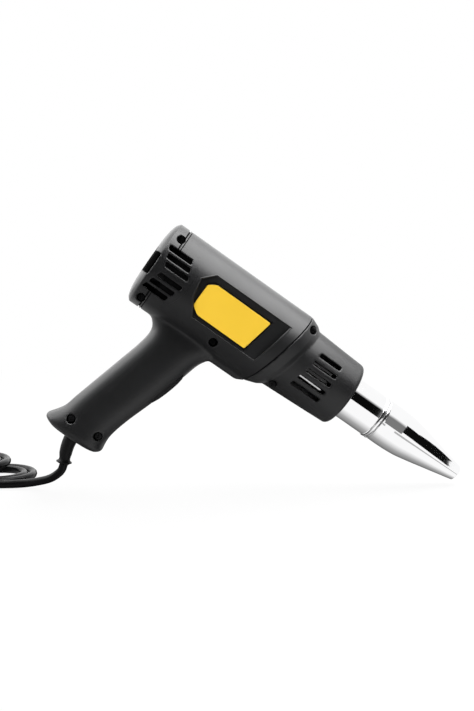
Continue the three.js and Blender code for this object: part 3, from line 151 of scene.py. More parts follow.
# Strain relief: bend of its middle line, radii, and its lip as distance from the end and radius.
RELIEF_BEND, RELIEF_BEND_RADIUS, RELIEF_STRAIGHT, RELIEF_STEPS = math.radians(24), 40, 7.7, 12
RELIEF_ROOT_RADIUS, RELIEF_TAPER, RELIEF_HOLE = 5.6, 0.8, 6
RELIEF_LIP = (
    (4.6, 4.2), (3.4, 4.2), (2.6, 4.4), (2, 5), (1.5, 5.8), (1.2, 6), (0.8, 5.9), (0, 4.4), (0, 3.4),
)


class HotAirSizes(bpy.types.PropertyGroup):
    """Sizes that a user may change, in millimetres unless a unit says otherwise."""

    pitch: FloatProperty(name="Pitch", description="Barrel below the horizontal", subtype="ANGLE",
                         default=math.radians(35.1))
    grip_x: FloatProperty(name="Grip along", description="Hand's middle along the barrel", default=38.5)
    grip_z: FloatProperty(name="Grip height", description="Hand's middle below the barrel axis",
                          default=-86.0)
    body_radius: FloatProperty(name="Body radius", description="Outer radius of the body", default=34.7)
    rear_seam: FloatProperty(name="Rear seam", description="Place of the rear cap's seam", default=8.8)
    front_seam: FloatProperty(name="Front seam", description="Seam of the nose on the axis", default=113.7)
    seam_slope: FloatProperty(name="Seam slope", description="Lean of the front seam", default=0.235)
    seam_gap: FloatProperty(name="Seam gap", description="Open joint between mouldings", default=0.5)
    panel_face: FloatProperty(name="Panel face", description="Side panel from the middle plane",
                              default=29.7)
    cap_radius: FloatProperty(name="Cap radius", description="Outer radius of the rear cap", default=34.8)
    nose_front: FloatProperty(name="Nose front", description="Front face of the nose", default=178.0)
    nose_mouth: FloatProperty(name="Nose mouth", description="Radius of the nose's mouth", default=20.4)
    tube_radius: FloatProperty(name="Tube radius", description="Outer radius of the barrel tube",
                               default=17.5)
    tube_front: FloatProperty(name="Tube front", description="Front end of the barrel tube", default=209.6)
    switch_x: FloatProperty(name="Switch along", description="Middle of the switch", default=62.9)
    switch_z: FloatProperty(name="Switch height", description="Middle of the switch", default=-74.0)
    switch_lean: FloatProperty(name="Switch lean", description="Slope of the handle's front edge",
                               subtype="ANGLE", default=math.radians(16.7))
    relief_x: FloatProperty(name="Relief place", description="Strain relief along the foot", default=23.5)
    cord: FloatProperty(name="Lead thickness", description="Diameter of the mains lead", default=6.4)
    table: FloatProperty(name="Table height", description="Surface that the lead lies on", default=-81.8)
    voxel: FloatProperty(name="Grain of the mouldings", description="Facet size of moulded shells",
                         default=0.7)
    sides: IntProperty(name="Round sides", description="Sides of round forms", default=128)


class HotAirColours(bpy.types.PropertyGroup):
    """Finishes that a user may change."""

    plastic: FloatVectorProperty(name="Body plastic", description="Moulded body", subtype="COLOR",
                                 size=3, default=(0.0062, 0.0063, 0.0069))
    cap: FloatVectorProperty(name="Cap plastic", description="Cap and switch frame", subtype="COLOR",
                             size=3, default=(0.006, 0.0061, 0.0067))
    plate: FloatVectorProperty(name="Plate", description="Side plates", subtype="COLOR",
                               size=3, default=(0.894, 0.563, 0.028))
    chrome: FloatVectorProperty(name="Chrome", description="Barrel and reducer", subtype="COLOR",
                                size=3, default=(0.95, 0.95, 0.955))
    # Near black and without metal sheen: painted shade of the deep screw pockets.
    zinc: FloatVectorProperty(name="Screws", description="Blackened screws", subtype="COLOR",
                              size=3, default=(0.008, 0.008, 0.0085))
    rubber: FloatVectorProperty(name="Rubber", description="Relief, rocker and tie", subtype="COLOR",
                                size=3, default=(0.0032, 0.0032, 0.0034))
    jacket: FloatVectorProperty(name="Lead jacket", description="Mains lead", subtype="COLOR",
                                size=3, default=(0.004, 0.004, 0.0044))


def sizes():
    return bpy.context.scene.hot_air_sizes


def colours():
    return bpy.context.scene.hot_air_colours


def tool_to_frame():
    s = sizes()
    turned = Matrix.Rotation(s.pitch, 4, "Y") @ Matrix.Translation((-s.grip_x, 0, -s.grip_z))
    return Matrix.Scale(MM, 4) @ turned


# Mesh helpers

def mesh_object(name, bm, matrix=None):
    """Object at the origin from a bmesh in millimetres; matrix takes it to the shared frame."""
    bmesh.ops.remove_doubles(bm, verts=bm.verts, dist=1e-4)
    bmesh.ops.recalc_face_normals(bm, faces=bm.faces)
    bm.transform(matrix or Matrix.Scale(MM, 4))
    mesh = bpy.data.meshes.new(name)
    bm.to_mesh(mesh)
    bm.free()
    piece = bpy.data.objects.new(name, mesh)
    bpy.context.scene.collection.objects.link(piece)
    return piece


def spin_profile(bm, points, steps, closed=False):
    """Turns a row of (x, radius) points about the barrel axis."""
    verts = [bm.verts.new((x, 0, r)) for x, r in points]
    edges = [bm.edges.new(pair) for pair in zip(verts, verts[1:])]
    if closed:
        edges.append(bm.edges.new((verts[-1], verts[0])))
    bmesh.ops.spin(bm, geom=verts + edges, cent=(0, 0, 0), axis=(1, 0, 0), angle=2 * math.pi,
                   steps=steps, use_merge=True, use_duplicate=False)
    bmesh.ops.remove_doubles(bm, verts=bm.verts, dist=1e-4)


def drum(bm, start, end, radius, steps=96):
    """Solid round form about the barrel axis."""
    spin_profile(bm, [(start, 0), (start, radius), (end, radius), (end, 0)], steps)


def hoop(bm, start, end, inner, outer, steps=96):
    """Square-edged ring about the barrel axis."""
    spin_profile(bm, [(start, inner), (start, outer), (end, outer), (end, inner)], steps, closed=True)


def bridge_rings(bm, rings):
    """Closed skin over rings with equal counts of points."""
    loops = []
    for ring in rings:
        verts = [bm.verts.new(p) for p in ring]
        loops.append([bm.edges.new((a, b)) for a, b in zip(verts, verts[1:] + verts[:1])])
    for lower, upper in zip(loops, loops[1:]):
        bmesh.ops.bridge_loops(bm, edges=lower + upper)
    for end in (loops[0], loops[-1]):
        bmesh.ops.edgeloop_fill(bm, edges=end)


def bulged(turn, power):
    """Point of a rounded square at a turn; a power of 2 makes it a circle."""
    return [math.copysign(abs(t) ** (2 / power), t) for t in (math.cos(turn), math.sin(turn))]


def draw_out(bm, outline, low, high):
    """Flat outline of (x, z) points drawn out sideways."""
    face = bm.faces.new([bm.verts.new((x, low, z)) for x, z in outline])
    made = bmesh.ops.extrude_face_region(bm, geom=[face])
    moved = [v for v in made["geom"] if isinstance(v, bmesh.types.BMVert)]
    bmesh.ops.translate(bm, verts=moved, vec=(0, high - low, 0))


def draw_both_sides(bm, outline, near):
    """Outline drawn out on the left and the right, from a distance off the middle plane."""
    draw_out(bm, outline, near, FAR)
    draw_out(bm, outline, -FAR, -near)


def cross_rod(bm, x, z, low, high, radius):
    """Round bar along y."""
    place = Matrix.Translation((x, (low + high) / 2, z)) @ Matrix.Rotation(math.pi / 2, 4, "X")
    bmesh.ops.create_cone(bm, cap_ends=True, segments=40, radius1=radius, radius2=radius,
                          depth=high - low, matrix=place)


def lean_with_seam(bm):
    """Shears a form along the oblique front seam."""
    for v in bm.verts:
        v.co.x += sizes().seam_slope * v.co.z


def box_between(bm, low, high):
    middle = [(a + b) / 2 for a, b in zip(low, high)]
    size = [b - a for a, b in zip(low, high)]
    bmesh.ops.create_cube(bm, size=1, matrix=Matrix.Translation(middle) @ Matrix.Diagonal((*size, 1)))


def centred_box(bm, start, end, half_width, half_height, z=0):
    box_between(bm, (start, -half_width, z - half_height), (end, half_width, z + half_height))


def shaped(build, matrix=None, name="cutter"):
    bm = bmesh.new()
    build(bm)
    return mesh_object(name, bm, matrix or tool_to_frame())


def settle(piece):
    """Fixes the result of a piece's modifiers into its mesh."""
    depsgraph = bpy.context.evaluated_depsgraph_get()
    mesh = bpy.data.meshes.new_from_object(piece.evaluated_get(depsgraph))
    old = piece.data
    piece.modifiers.clear()
    piece.data = mesh
    mesh.name = piece.name
    bpy.data.meshes.remove(old)


def combine(piece, other, operation):
    """Joins, cuts or clips a piece with another object, which is used up."""
    step = piece.modifiers.new("combine", "BOOLEAN")
    step.operation = operation
    step.solver = "MANIFOLD"
    step.object = other
    settle(piece)
    if not piece.data.polygons:
        raise RuntimeError(f"{piece.name} has no faces left")
    mesh = other.data
    bpy.data.objects.remove(other)
    bpy.data.meshes.remove(mesh)


def add(piece, *builds, matrix=None):
    for build in builds:
        combine(piece, shaped(build, matrix), "UNION")


def cut(piece, *builds, matrix=None):
    for build in builds:
        combine(piece, shaped(build, matrix), "DIFFERENCE")


def clip(piece, build):
    combine(piece, shaped(build), "INTERSECT")


def moulded(piece, voxel, rounds):
    """Rounds every edge of a piece a little, as a moulding has it."""
    skin = piece.modifiers.new("skin", "REMESH")
    skin.mode = "VOXEL"
    skin.voxel_size = voxel * MM * 1
    ease = piece.modifiers.new("ease", "SMOOTH")
    ease.factor = 0.5
    ease.iterations = rounds
    settle(piece)
    smooth(piece)


def smooth(piece):
    piece.data.polygons.foreach_set("use_smooth", [True] * len(piece.data.polygons))


def soft_edges(piece, width, angle=35):
    """Small rounded edges on a crisp piece, with flat faces kept flat."""
    bevel = piece.modifiers.new("edges", "BEVEL")
    bevel.width = width * MM
    bevel.segments = 3
    bevel.limit_method = "ANGLE"
    bevel.angle_limit = math.radians(angle)
    bevel.harden_normals = True
    smooth(piece)


def crisp(piece):
    """Keeps cut edges sharp on a piece that is otherwise smooth."""
    smooth(piece)
    piece.data.set_sharp_from_angle(angle=math.radians(38))


def bead_round(bm, corners, side, barrel, radius):
    """Closed round bead on a barrel's side, along corners (x, z)."""
    spans, sides = 6, 12
    path = []
    for start, end in zip(corners, corners[1:] + corners[:1]):
        path += [Vector(start).lerp(Vector(end), k / spans) for k in range(spans)]
    loops = []
    for before, here, after in zip(path[-1:] + path[:-1], path, path[1:] + path[:1]):
        along = ((here - before).normalized() + (after - here).normalized()).normalized()
        reach = radius / along.dot((here - before).normalized())
        out = side * math.sqrt(barrel * barrel - here.y * here.y)
        ring = []
        for k in range(sides):
            turn = 2 * math.pi * k / sides
            off = Vector((along.y, -along.x)) * reach * math.cos(turn)
            place = (here.x + off.x, out + radius * math.sin(turn), here.y + off.y)
            ring.append(bm.verts.new(place))
        loops.append([bm.edges.new((a, b)) for a, b in zip(ring, ring[1:] + ring[:1])])
    for lower, upper in zip(loops, loops[1:] + loops[:1]):
        bmesh.ops.bridge_loops(bm, edges=lower + upper)


def finish(piece, body, slot, material, *nodes):
    """Sets a piece's material and body, and the solids that it stands for."""
    piece.data.materials.clear()
    piece.data.materials.append(material)
    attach(piece, body)
    if nodes:
        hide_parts(*nodes)
    return piece


def paint_shade_where(piece, inside):
    """Paints the faces whose middle passes a test in the tool's axes matt black, as painted shade."""
    piece.data.materials.append(painted_shade_black())
    to_tool = tool_to_frame().inverted()
    for face in piece.data.polygons:
        if inside(to_tool @ face.center):
            face.material_index = 1


# Materials

def feed(tree, node, inputs):
    """Gives each named input of a node a value, or the socket that feeds it."""
    for label, value in inputs.items():
        if isinstance(value, bpy.types.NodeSocket):
            tree.links.new(value, node.inputs[label])
        else:
            node.inputs[label].default_value = value
    return node


def wire(tree, kind, inputs, **settings):
    """Adds a node with its settings and inputs."""
    node = tree.nodes.new(kind)
    for label, value in settings.items():
        setattr(node, label, value)
    return feed(tree, node, inputs)


def maths(tree, operation, *values):
    return wire(tree, "ShaderNodeMath", dict(enumerate(values)), operation=operation).outputs[0]


def object_place(tree):
    return tree.nodes.new("ShaderNodeTexCoord").outputs["Object"]


def grain_group():
    """Fine spark grain of a mould and faint cloudiness of the surface."""
    name = "moulded_grain"
    if name in bpy.data.node_groups:
        return bpy.data.node_groups[name]
    group = bpy.data.node_groups.new(name, "ShaderNodeTree")
    new_socket = group.interface.new_socket
    new_socket("Base", in_out="INPUT", socket_type="NodeSocketColor")
    for label in ("Grain", "Clouds", "Tint", "Roughness", "Spread"):
        new_socket(label, in_out="INPUT", socket_type="NodeSocketFloat")
    new_socket("Color", in_out="OUTPUT", socket_type="NodeSocketColor")
    for label in ("Roughness", "Height"):
        new_socket(label, in_out="OUTPUT", socket_type="NodeSocketFloat")
    given = group.nodes.new("NodeGroupInput").outputs
    place = object_place(group)
    fine = wire(group, "ShaderNodeTexNoise", {"Vector": place, "Scale": given["Grain"], "Detail": 2})
    clouds = wire(group, "ShaderNodeTexNoise", {"Vector": place, "Scale": given["Clouds"], "Detail": 4})
    centred = maths(group, "SUBTRACT", clouds.outputs["Fac"], 0.5)
    tint = maths(group, "MULTIPLY_ADD", centred, given["Tint"], 1.0)
    shade = wire(group, "ShaderNodeVectorMath", {0: given["Base"], "Scale": tint}, operation="SCALE")
    feed(group, group.nodes.new("NodeGroupOutput"), {
        "Color": shade.outputs[0],
        "Roughness": maths(group, "MULTIPLY_ADD", centred, given["Spread"], given["Roughness"]),
        "Height": fine.outputs["Fac"],
    })
    return group


def grained(name, colour, roughness, grain=2600.0, depth=0.03, clouds=45.0, tint=0.3, spread=0.12,
            metallic=0.0, specular=0.5):
    """A material with mould grain, cloudiness and a fine bump."""
    if name in bpy.data.materials:
        return bpy.data.materials[name]
    material = bpy.data.materials.new(name)
    material.use_nodes = True
    tree = material.node_tree
    surface = wire(tree, "ShaderNodeGroup", {
        "Base": (*colour, 1), "Grain": grain, "Clouds": clouds, "Tint": tint, "Roughness": roughness,
        "Spread": spread,
    }, node_tree=grain_group()).outputs
    bump = wire(tree, "ShaderNodeBump", {
        "Height": surface["Height"], "Strength": 0.6, "Distance": depth * MM,
    })
    feed(tree, tree.nodes["Principled BSDF"], {
        "Base Color": surface["Color"], "Roughness": surface["Roughness"], "Normal": bump.outputs["Normal"],
        "Metallic": metallic, "Specular IOR Level": specular,
    })
    return material


def body_plastic():
    return grained("black_body_plastic", colours().plastic, 0.42, grain=1900, depth=0.05)


def cap_plastic():
    return grained("black_cap_plastic", colours().cap, 0.4, grain=1900, depth=0.05)


# Painted shade: near black, rough and without sheen, laid where shade falls in recesses and seam gaps.
def painted_shade_black():
    return grained("painted_shade_recess", (0.005, 0.005, 0.005), 0.9, grain=1900, depth=0.05, specular=0.02)


def soft_rubber():
    return grained("soft_rubber", colours().rubber, 0.5, grain=1500, depth=0.04, specular=0.2)


def lead_jacket():
    return grained("lead_jacket", colours().jacket, 0.22, grain=900, depth=0.05, specular=0.1)


def chrome():
    return grained("chrome_plate", colours().chrome, 0.04, grain=700, depth=0.001, clouds=60, tint=0.05,
                   spread=0.05, metallic=1.0)


# Painted shade: the screws are near black and not metallic, standing in for the shade in their deep pockets.
def zinc():
    return grained("screw_shade_black", colours().zinc, 0.6, grain=1500, depth=0.02, specular=0.1)


def plate_yellow():
    return grained("painted_yellow", colours().plate, 0.33, grain=900, depth=0.006, clouds=30, tint=0.06,
                   spread=0.1)


def pin_brass():
    return grained("bright_brass", (0.62, 0.5, 0.28), 0.22, grain=1200, depth=0.004, metallic=1.0)


# Stage

# Camera: the point it looks at and its distance in metres, its turn and rise in degrees, and its lens.
CAMERA_AIM, CAMERA_AWAY = (0.0801, 0, 0.0215), 0.696
CAMERA_TURN, CAMERA_RISE, CAMERA_LENS = -5, 5, 46.0
# Cards round the barrel, which polished and satin surfaces mirror: name, the brightness at the lower
# and the upper edge, and rows of the turn from the barrel's front to its top in degrees with the
# stretch along the barrel in metres.
CARDS = (
    ("tube_band", 0.003, 0.003, ((3, 0.29, 0.347), (45, 0.29, 0.347))),
    ("tube_band_edge", 0.003, 1.0, ((45, 0.29, 0.347), (58, 0.29, 0.347))),
    ("collar_band", 0.2, 0.2, ((3, 0.347, 0.44), (43, 0.347, 0.44))),
    ("collar_band_edge", 0.2, 1.0, ((43, 0.347, 0.44), (57, 0.347, 0.43))),
    ("cone_band", 0.004, 0.004, ((14, 0.44, 0.778), (30, 0.44, 0.767), (59, 0.44, 0.727),
                                 (63, 0.59, 0.718), (72, 0.612, 0.704), (86, 0.634, 0.679),
                                 (96, 0.638, 0.663))),
    ("slim_line", 0.45, 0.45, ((-12, 0.4, 0.85), (-3, 0.4, 0.85))),
    ("low_fade", 0.4, 1.0, ((-100, 0.29, 0.9), (-58, 0.29, 0.9))),
    ("under_fade", 0.1, 0.4, ((-155, 0.29, 0.9), (-100, 0.29, 0.9))),
    ("front_flag", 0.03, 0.03, ((-34, -0.7, 0.05), (-24, -0.7, 0.11), (-8, -0.7, 0.29), (54, -0.7, 0.29))),
    ("front_fill", 0.1, 0.55, ((-80, -0.7, 0.29), (-50, -0.7, 0.29))),
    ("front_fill_top", 0.55, 0.5, ((-50, -0.7, 0.29), (-6, -0.7, 0.29))),
    ("under_flag", 0.004, 0.1, ((-170, 0.03, 0.29), (-80, 0.03, 0.29))),
    ("sky", 8.0, 6.5, ((54, -0.7, 0.29), (112, -0.7, 0.29))),
    ("sky_back", 2.2, 2.2, ((112, -0.7, 0.2), (195, -0.7, 0.2))),
)
CARD_AWAY, CARD_LAYER = 0.5, 0.001
# Square cards across the barrel: name, place along it, place aside and width in metres, brightness.
END_CARDS = (("rear_sky", -0.8, -0.3, 0.8, 3.8), ("front_end_flag", 0.95, 0, 0.9, 0.12))
# Lamps: name, place, size in metres and watts.
LAMPS = (
    ("above", (0.55, 0.3, 1.05), (1.3, 1.0), 18),
    ("front", (-0.5, -1.2, 0.5), (0.8, 0.8), 8),
    ("behind", (0.6, 1.1, 0.6), (0.9, 0.9), 5),
)
LAMP_AIM = (0.06, 0, 0.02)


def look_along(holder, heading):
    """Turns a camera or a lamp to look along a heading."""
    holder.rotation_mode = "QUATERNION"
    holder.rotation_quaternion = heading.to_track_quat("-Z", "Y")


def seen_directly(tree):
    """One for rays that show the background: to the camera, mirrored or through glass."""
    rays = tree.nodes.new("ShaderNodeLightPath").outputs
    mirrored = maths(tree, "MAXIMUM", rays["Is Glossy Ray"], rays["Is Transmission Ray"])
    return maths(tree, "MAXIMUM", rays["Is Camera Ray"], mirrored)


class HotAirStage(bpy.types.Operator):
    """Camera at the photograph's angle, plain soft light and a white floor."""

    bl_idname = "hot_air.stage"
    bl_label = "Stage"

    def execute(self, context):
        scene = context.scene
        scene.view_settings.view_transform = "Standard"
        self.camera(scene)
        self.world(scene)
        self.floor()
        self.cards()
        self.lamps(scene)
        return {"FINISHED"}

    def camera(self, scene):
        """Looks at the tool slightly from the left and from above."""
        turn, rise = math.radians(CAMERA_TURN), math.radians(CAMERA_RISE)
        back = Vector((math.sin(turn) * math.cos(rise), -math.cos(turn) * math.cos(rise), math.sin(rise)))
        lens = bpy.data.cameras.new("camera")
        lens.sensor_width = 36
        lens.lens = CAMERA_LENS
        lens.clip_start, lens.clip_end = 0.01, 50
        camera = bpy.data.objects.new("camera", lens)
        camera.location = Vector(CAMERA_AIM) + back * CAMERA_AWAY
        look_along(camera, -back)
        scene.collection.objects.link(camera)
        scene.camera = camera

    def world(self, scene):
        """White where it is seen or mirrored, and a plain pale light elsewhere."""
        world = bpy.data.worlds.new("studio")
        world.use_nodes = True
        tree = world.node_tree
        strength = wire(tree, "ShaderNodeMapRange", {
            "Value": seen_directly(tree), "To Min": 0.45, "To Max": 1.0,
        })
        feed(tree, tree.nodes["Background"], {"Color": (1, 1, 1, 1), "Strength": strength.outputs[0]})
        scene.world = world

    def floor(self):
        """White floor that keeps a faint shadow near the tool and fades into the background."""
        bm = bmesh.new()
        bmesh.ops.create_grid(bm, x_segments=1, y_segments=1, size=6000)
        bmesh.ops.translate(bm, verts=bm.verts, vec=(0, 0, sizes().table - 0.1))
        floor = mesh_object("floor", bm)
        material = bpy.data.materials.new("white_floor")
        material.use_nodes = True
        tree = material.node_tree
        shader = feed(tree, tree.nodes["Principled BSDF"], {
            "Base Color": (0.8, 0.8, 0.8, 1), "Roughness": 0.9,
        })
        white = tree.nodes.new("ShaderNodeEmission")
        away = wire(tree, "ShaderNodeVectorMath", {0: object_place(tree)}, operation="LENGTH")
        fade = wire(tree, "ShaderNodeMapRange", {
            "Value": away.outputs["Value"], "From Min": 0.25, "From Max": 0.9, "To Min": 0.9, "To Max": 1.0,
        })
        share = maths(tree, "MULTIPLY", seen_directly(tree), fade.outputs[0])
        mix = wire(tree, "ShaderNodeMixShader", {0: share, 1: shader.outputs[0], 2: white.outputs[0]})
        feed(tree, tree.nodes["Material Output"], {"Surface": mix.outputs[0]})
        floor.data.materials.append(material)
        floor.visible_glossy = False

    def cards(self):
        """Bright, grey and dark cards about the barrel, seen only in reflections."""
        for layer, (name, low, high, rows) in enumerate(CARDS):
            paint = self.card_paint(name, low, high, rows[0][0], rows[-1][0])
            self.set_card(name, self.curved_sheet(rows, CARD_AWAY + CARD_LAYER * layer), paint)
        for name, along, aside, across, bright in END_CARDS:
            bm = bmesh.new()
            square = Matrix.Translation((along, aside, 0)) @ Matrix.Rotation(math.pi / 2, 4, "Y")
            bmesh.ops.create_grid(bm, x_segments=1, y_segments=1, size=across / 2, matrix=square)
            self.set_card(name, bm, self.card_paint(name, bright, bright, -90, 90))

    def curved_sheet(self, rows, away):
        """Sheet bent round the barrel, through rows of turn, start and end."""
        bm = bmesh.new()
        edges = []
        for row, row_on in zip(rows, rows[1:]):
            steps = max(2, round((row_on[0] - row[0]) / 4))
            for k in range(steps + 1):
                turn, start, end = [a + (b - a) * k / steps for a, b in zip(row, row_on)]
                y, z = away * math.cos(math.radians(turn)), away * math.sin(math.radians(turn))
                edges.append(bm.edges.new([bm.verts.new((x, y, z)) for x in (start, end)]))
        for edge, edge_on in zip(edges, edges[1:]):
            bmesh.ops.bridge_loops(bm, edges=[edge, edge_on])
        return bm

    def set_card(self, name, bm, paint):
        """Puts one card about the barrel, turned to the side that the camera sees."""
        spot, turn, _ = tool_to_frame().decompose()
        card = mesh_object(name, bm, Matrix.Identity(4))
        card.matrix_world = Matrix.LocRotScale(spot, turn, None) @ Matrix.Diagonal((1, -1, 1, 1))
        card.data.materials.append(paint)
        card.visible_camera = card.visible_diffuse = card.visible_shadow = False
        card.visible_transmission = False

    def card_paint(self, name, low, high, start, end):
        """Plain light whose strength runs evenly from the card's lower to its upper edge."""
        material = bpy.data.materials.new(name)
        material.use_nodes = True
        tree = material.node_tree
        parts = wire(tree, "ShaderNodeSeparateXYZ", {0: object_place(tree)}).outputs
        ramp = wire(tree, "ShaderNodeMapRange", {
            "Value": maths(tree, "ARCTAN2", parts["Z"], parts["Y"]), "From Min": math.radians(start),
            "From Max": math.radians(end), "To Min": low, "To Max": high,
        })
        paint = wire(tree, "ShaderNodeEmission", {"Strength": ramp.outputs[0]})
        feed(tree, tree.nodes["Material Output"], {"Surface": paint.outputs[0]})
        return material

    def lamps(self, scene):
        """One broad lamp above, a weaker one in front and one behind."""
        for name, place, size, power in LAMPS:
            lamp = bpy.data.lights.new(name, "AREA")
            lamp.shape = "RECTANGLE"
            lamp.size, lamp.size_y = size
            lamp.energy = power
            holder = bpy.data.objects.new(name, lamp)
            holder.location = place
            look_along(holder, Vector(LAMP_AIM) - Vector(place))
            holder.visible_glossy = False
            scene.collection.objects.link(holder)


# Lead, hank, tie and plug

def catmull(points, per_span):
    """Smooth line through points, evenly eased, with both ends kept."""
    ends = [points[0] * 2 - points[1], *points, points[-1] * 2 - points[-2]]
    line = []
    for a, b, c, d in zip(ends, ends[1:], ends[2:], ends[3:]):
        for k in range(per_span):
            t = k / per_span
            line.append(0.5 * (2 * b + (c - a) * t + (2 * a - 5 * b + 4 * c - d) * t * t
                               + (3 * b - a - 3 * c + d) * t ** 3))
    return line + [points[-1]]


# Places in the shared frame, in millimetres, that the lead passes on its way down to the table.
LEAD_WAY = ((-55.2, 2.1, -66.6), (-63.2, 6.1, -72.6), (-74.3, 11.2, -76.2), (-83.6, 14, -77.9))
LEAD_LANDS, LEAD_STEPS = -93, 6
# The folded lead in the shared frame, in millimetres: where its first run starts, its right end, front
# and length of a run, outer half width and spacing of the loops, how far the upper loops stand back and
# up at the right, the tied waist, the room before the plug, and the points on each run and fold.
HANK = SimpleNamespace(
    start=-102.2, right=-110.5, front=14.9, run=118.0, outer=33.5, step=7.2, back=24.0, right_lift=4.0,
    waist=8.0, waist_half=35.0, waist_at=5 / 9, lift=3.2, plug_clear=10.0,
    run_points=18, fold_points=20, end_points=8,
)
TIE_HALF_WIDTH, TIE_THICKNESS, TIE_CORNER = 1.5, 1.1, 2.6
# Plug sections: distance from its cord end, half width, half height, and power of the rounded square.
PLUG_ROWS = (
    (0, 4.0, 4.0, 2), (0.6, 4.6, 4.6, 2), (4, 4.9, 4.9, 2), (8, 5.2, 5.2, 2), (13, 5.7, 5.7, 2),
    (15, 6.8, 6.6, 2.1), (17, 9.6, 8.1, 2.2), (20, 13.4, 9.3, 2.5), (24, 16.6, 10.1, 2.8),
    (30, 18, 10.3, 3), (38, 18, 10.3, 3), (43, 17.9, 10.2, 3), (45.2, 17.4, 9.8, 3), (46, 16.6, 9, 3),
)
PLUG_MIDDLE = 10.4
PIN_ROOT, PIN_TIP, PIN_OFF, PIN_RADIUS = 40.3, 65, 9.5, 2.4
PIN_POINT = ((0, 0), (0, 1.2), (0.4, 1.8), (1.4, 2.3), (2.4, PIN_RADIUS))


def within(t):
    return max(0, min(1, t))


def eased(t):
    return t * t * (3 - 2 * t)


def hank_points(low):
    """Centre line of the folded lead: in along the lower layer, out along the upper one."""
    h = HANK
    left, middle_y = h.right - h.run, h.front + h.outer
    lower_right, upper_right = h.right, h.right - h.back
    middle_x = h.right - h.waist_at * h.run
    high, half = low + h.step, h.step / 2
    points = [Vector((h.start, h.front, low))]

    def waisted(x, out, height):
        off = min(1, abs(x - middle_x) / h.waist_half)
        ease = (1 + math.cos(math.pi * off)) / 2
        y = middle_y + out - math.copysign(h.waist * ease, out)
        points.append(Vector((x, y, height + h.lift * ease)))

    def run(side, out, right, start, end):
        for i in range(h.run_points):
            t = i / h.run_points
            x = right + (left - right) * (t if side < 0 else 1 - t)
            waisted(x, side * out, start + (end - start) * eased(t))

    def fold(side, start, end, right, height):
        for i in range(h.fold_points):
            turn = math.pi * i / h.fold_points
            out = start + (end - start) * i / h.fold_points
            centre = left if side < 0 else right
            points.append(Vector((centre + side * out * math.sin(turn),
                                  middle_y + side * out * math.cos(turn), height)))

    out = h.outer
    for _ in range(2):
        run(-1, out, lower_right, low, low)
        fold(-1, out, out - half, lower_right, low)
        run(1, out - half, lower_right, low, low)
        fold(1, out - half, out - h.step, lower_right, low)
        out -= h.step
    run(-1, out, lower_right, low, high)
    for _ in range(2):
        fold(-1, out, out + half, upper_right, high)
        run(1, out + half, upper_right, high, high)
        fold(1, out + half, out + h.step, upper_right, high)
        out += h.step
        run(-1, out, upper_right, high, high)
    plug_at = left - h.outer - h.plug_clear
    inside_plug = plug_at - 10
    for i in range(h.end_points + 1):
        waisted(left + (inside_plug - left) * i / h.end_points, -h.outer, high)
    for p in points:
        near = within((p.x - middle_x) / (upper_right - middle_x))
        p.z += h.right_lift * eased(near) * within((p.z - low) / h.step)
    return points, plug_at, middle_x, middle_y, high


def relief_line():
    """Middle line of the strain relief in the tool's axes, from its collar to its end."""
    x = sizes().relief_x
    line = [Vector((x, 0, FOOT_BOTTOM + above)) for above in (7, 4.5, 2)]
    straight_end = line[-1].z
    for i in range(1, RELIEF_STEPS + 1):
        turn = RELIEF_BEND * i / RELIEF_STEPS
        line.append(Vector((x + RELIEF_BEND_RADIUS * (1 - math.cos(turn)), 0,
                            straight_end - RELIEF_BEND_RADIUS * math.sin(turn))))
    heading = Vector((math.sin(RELIEF_BEND), 0, -math.cos(RELIEF_BEND)))
    line.append(line[-1] + heading * RELIEF_STRAIGHT)
    return line, heading


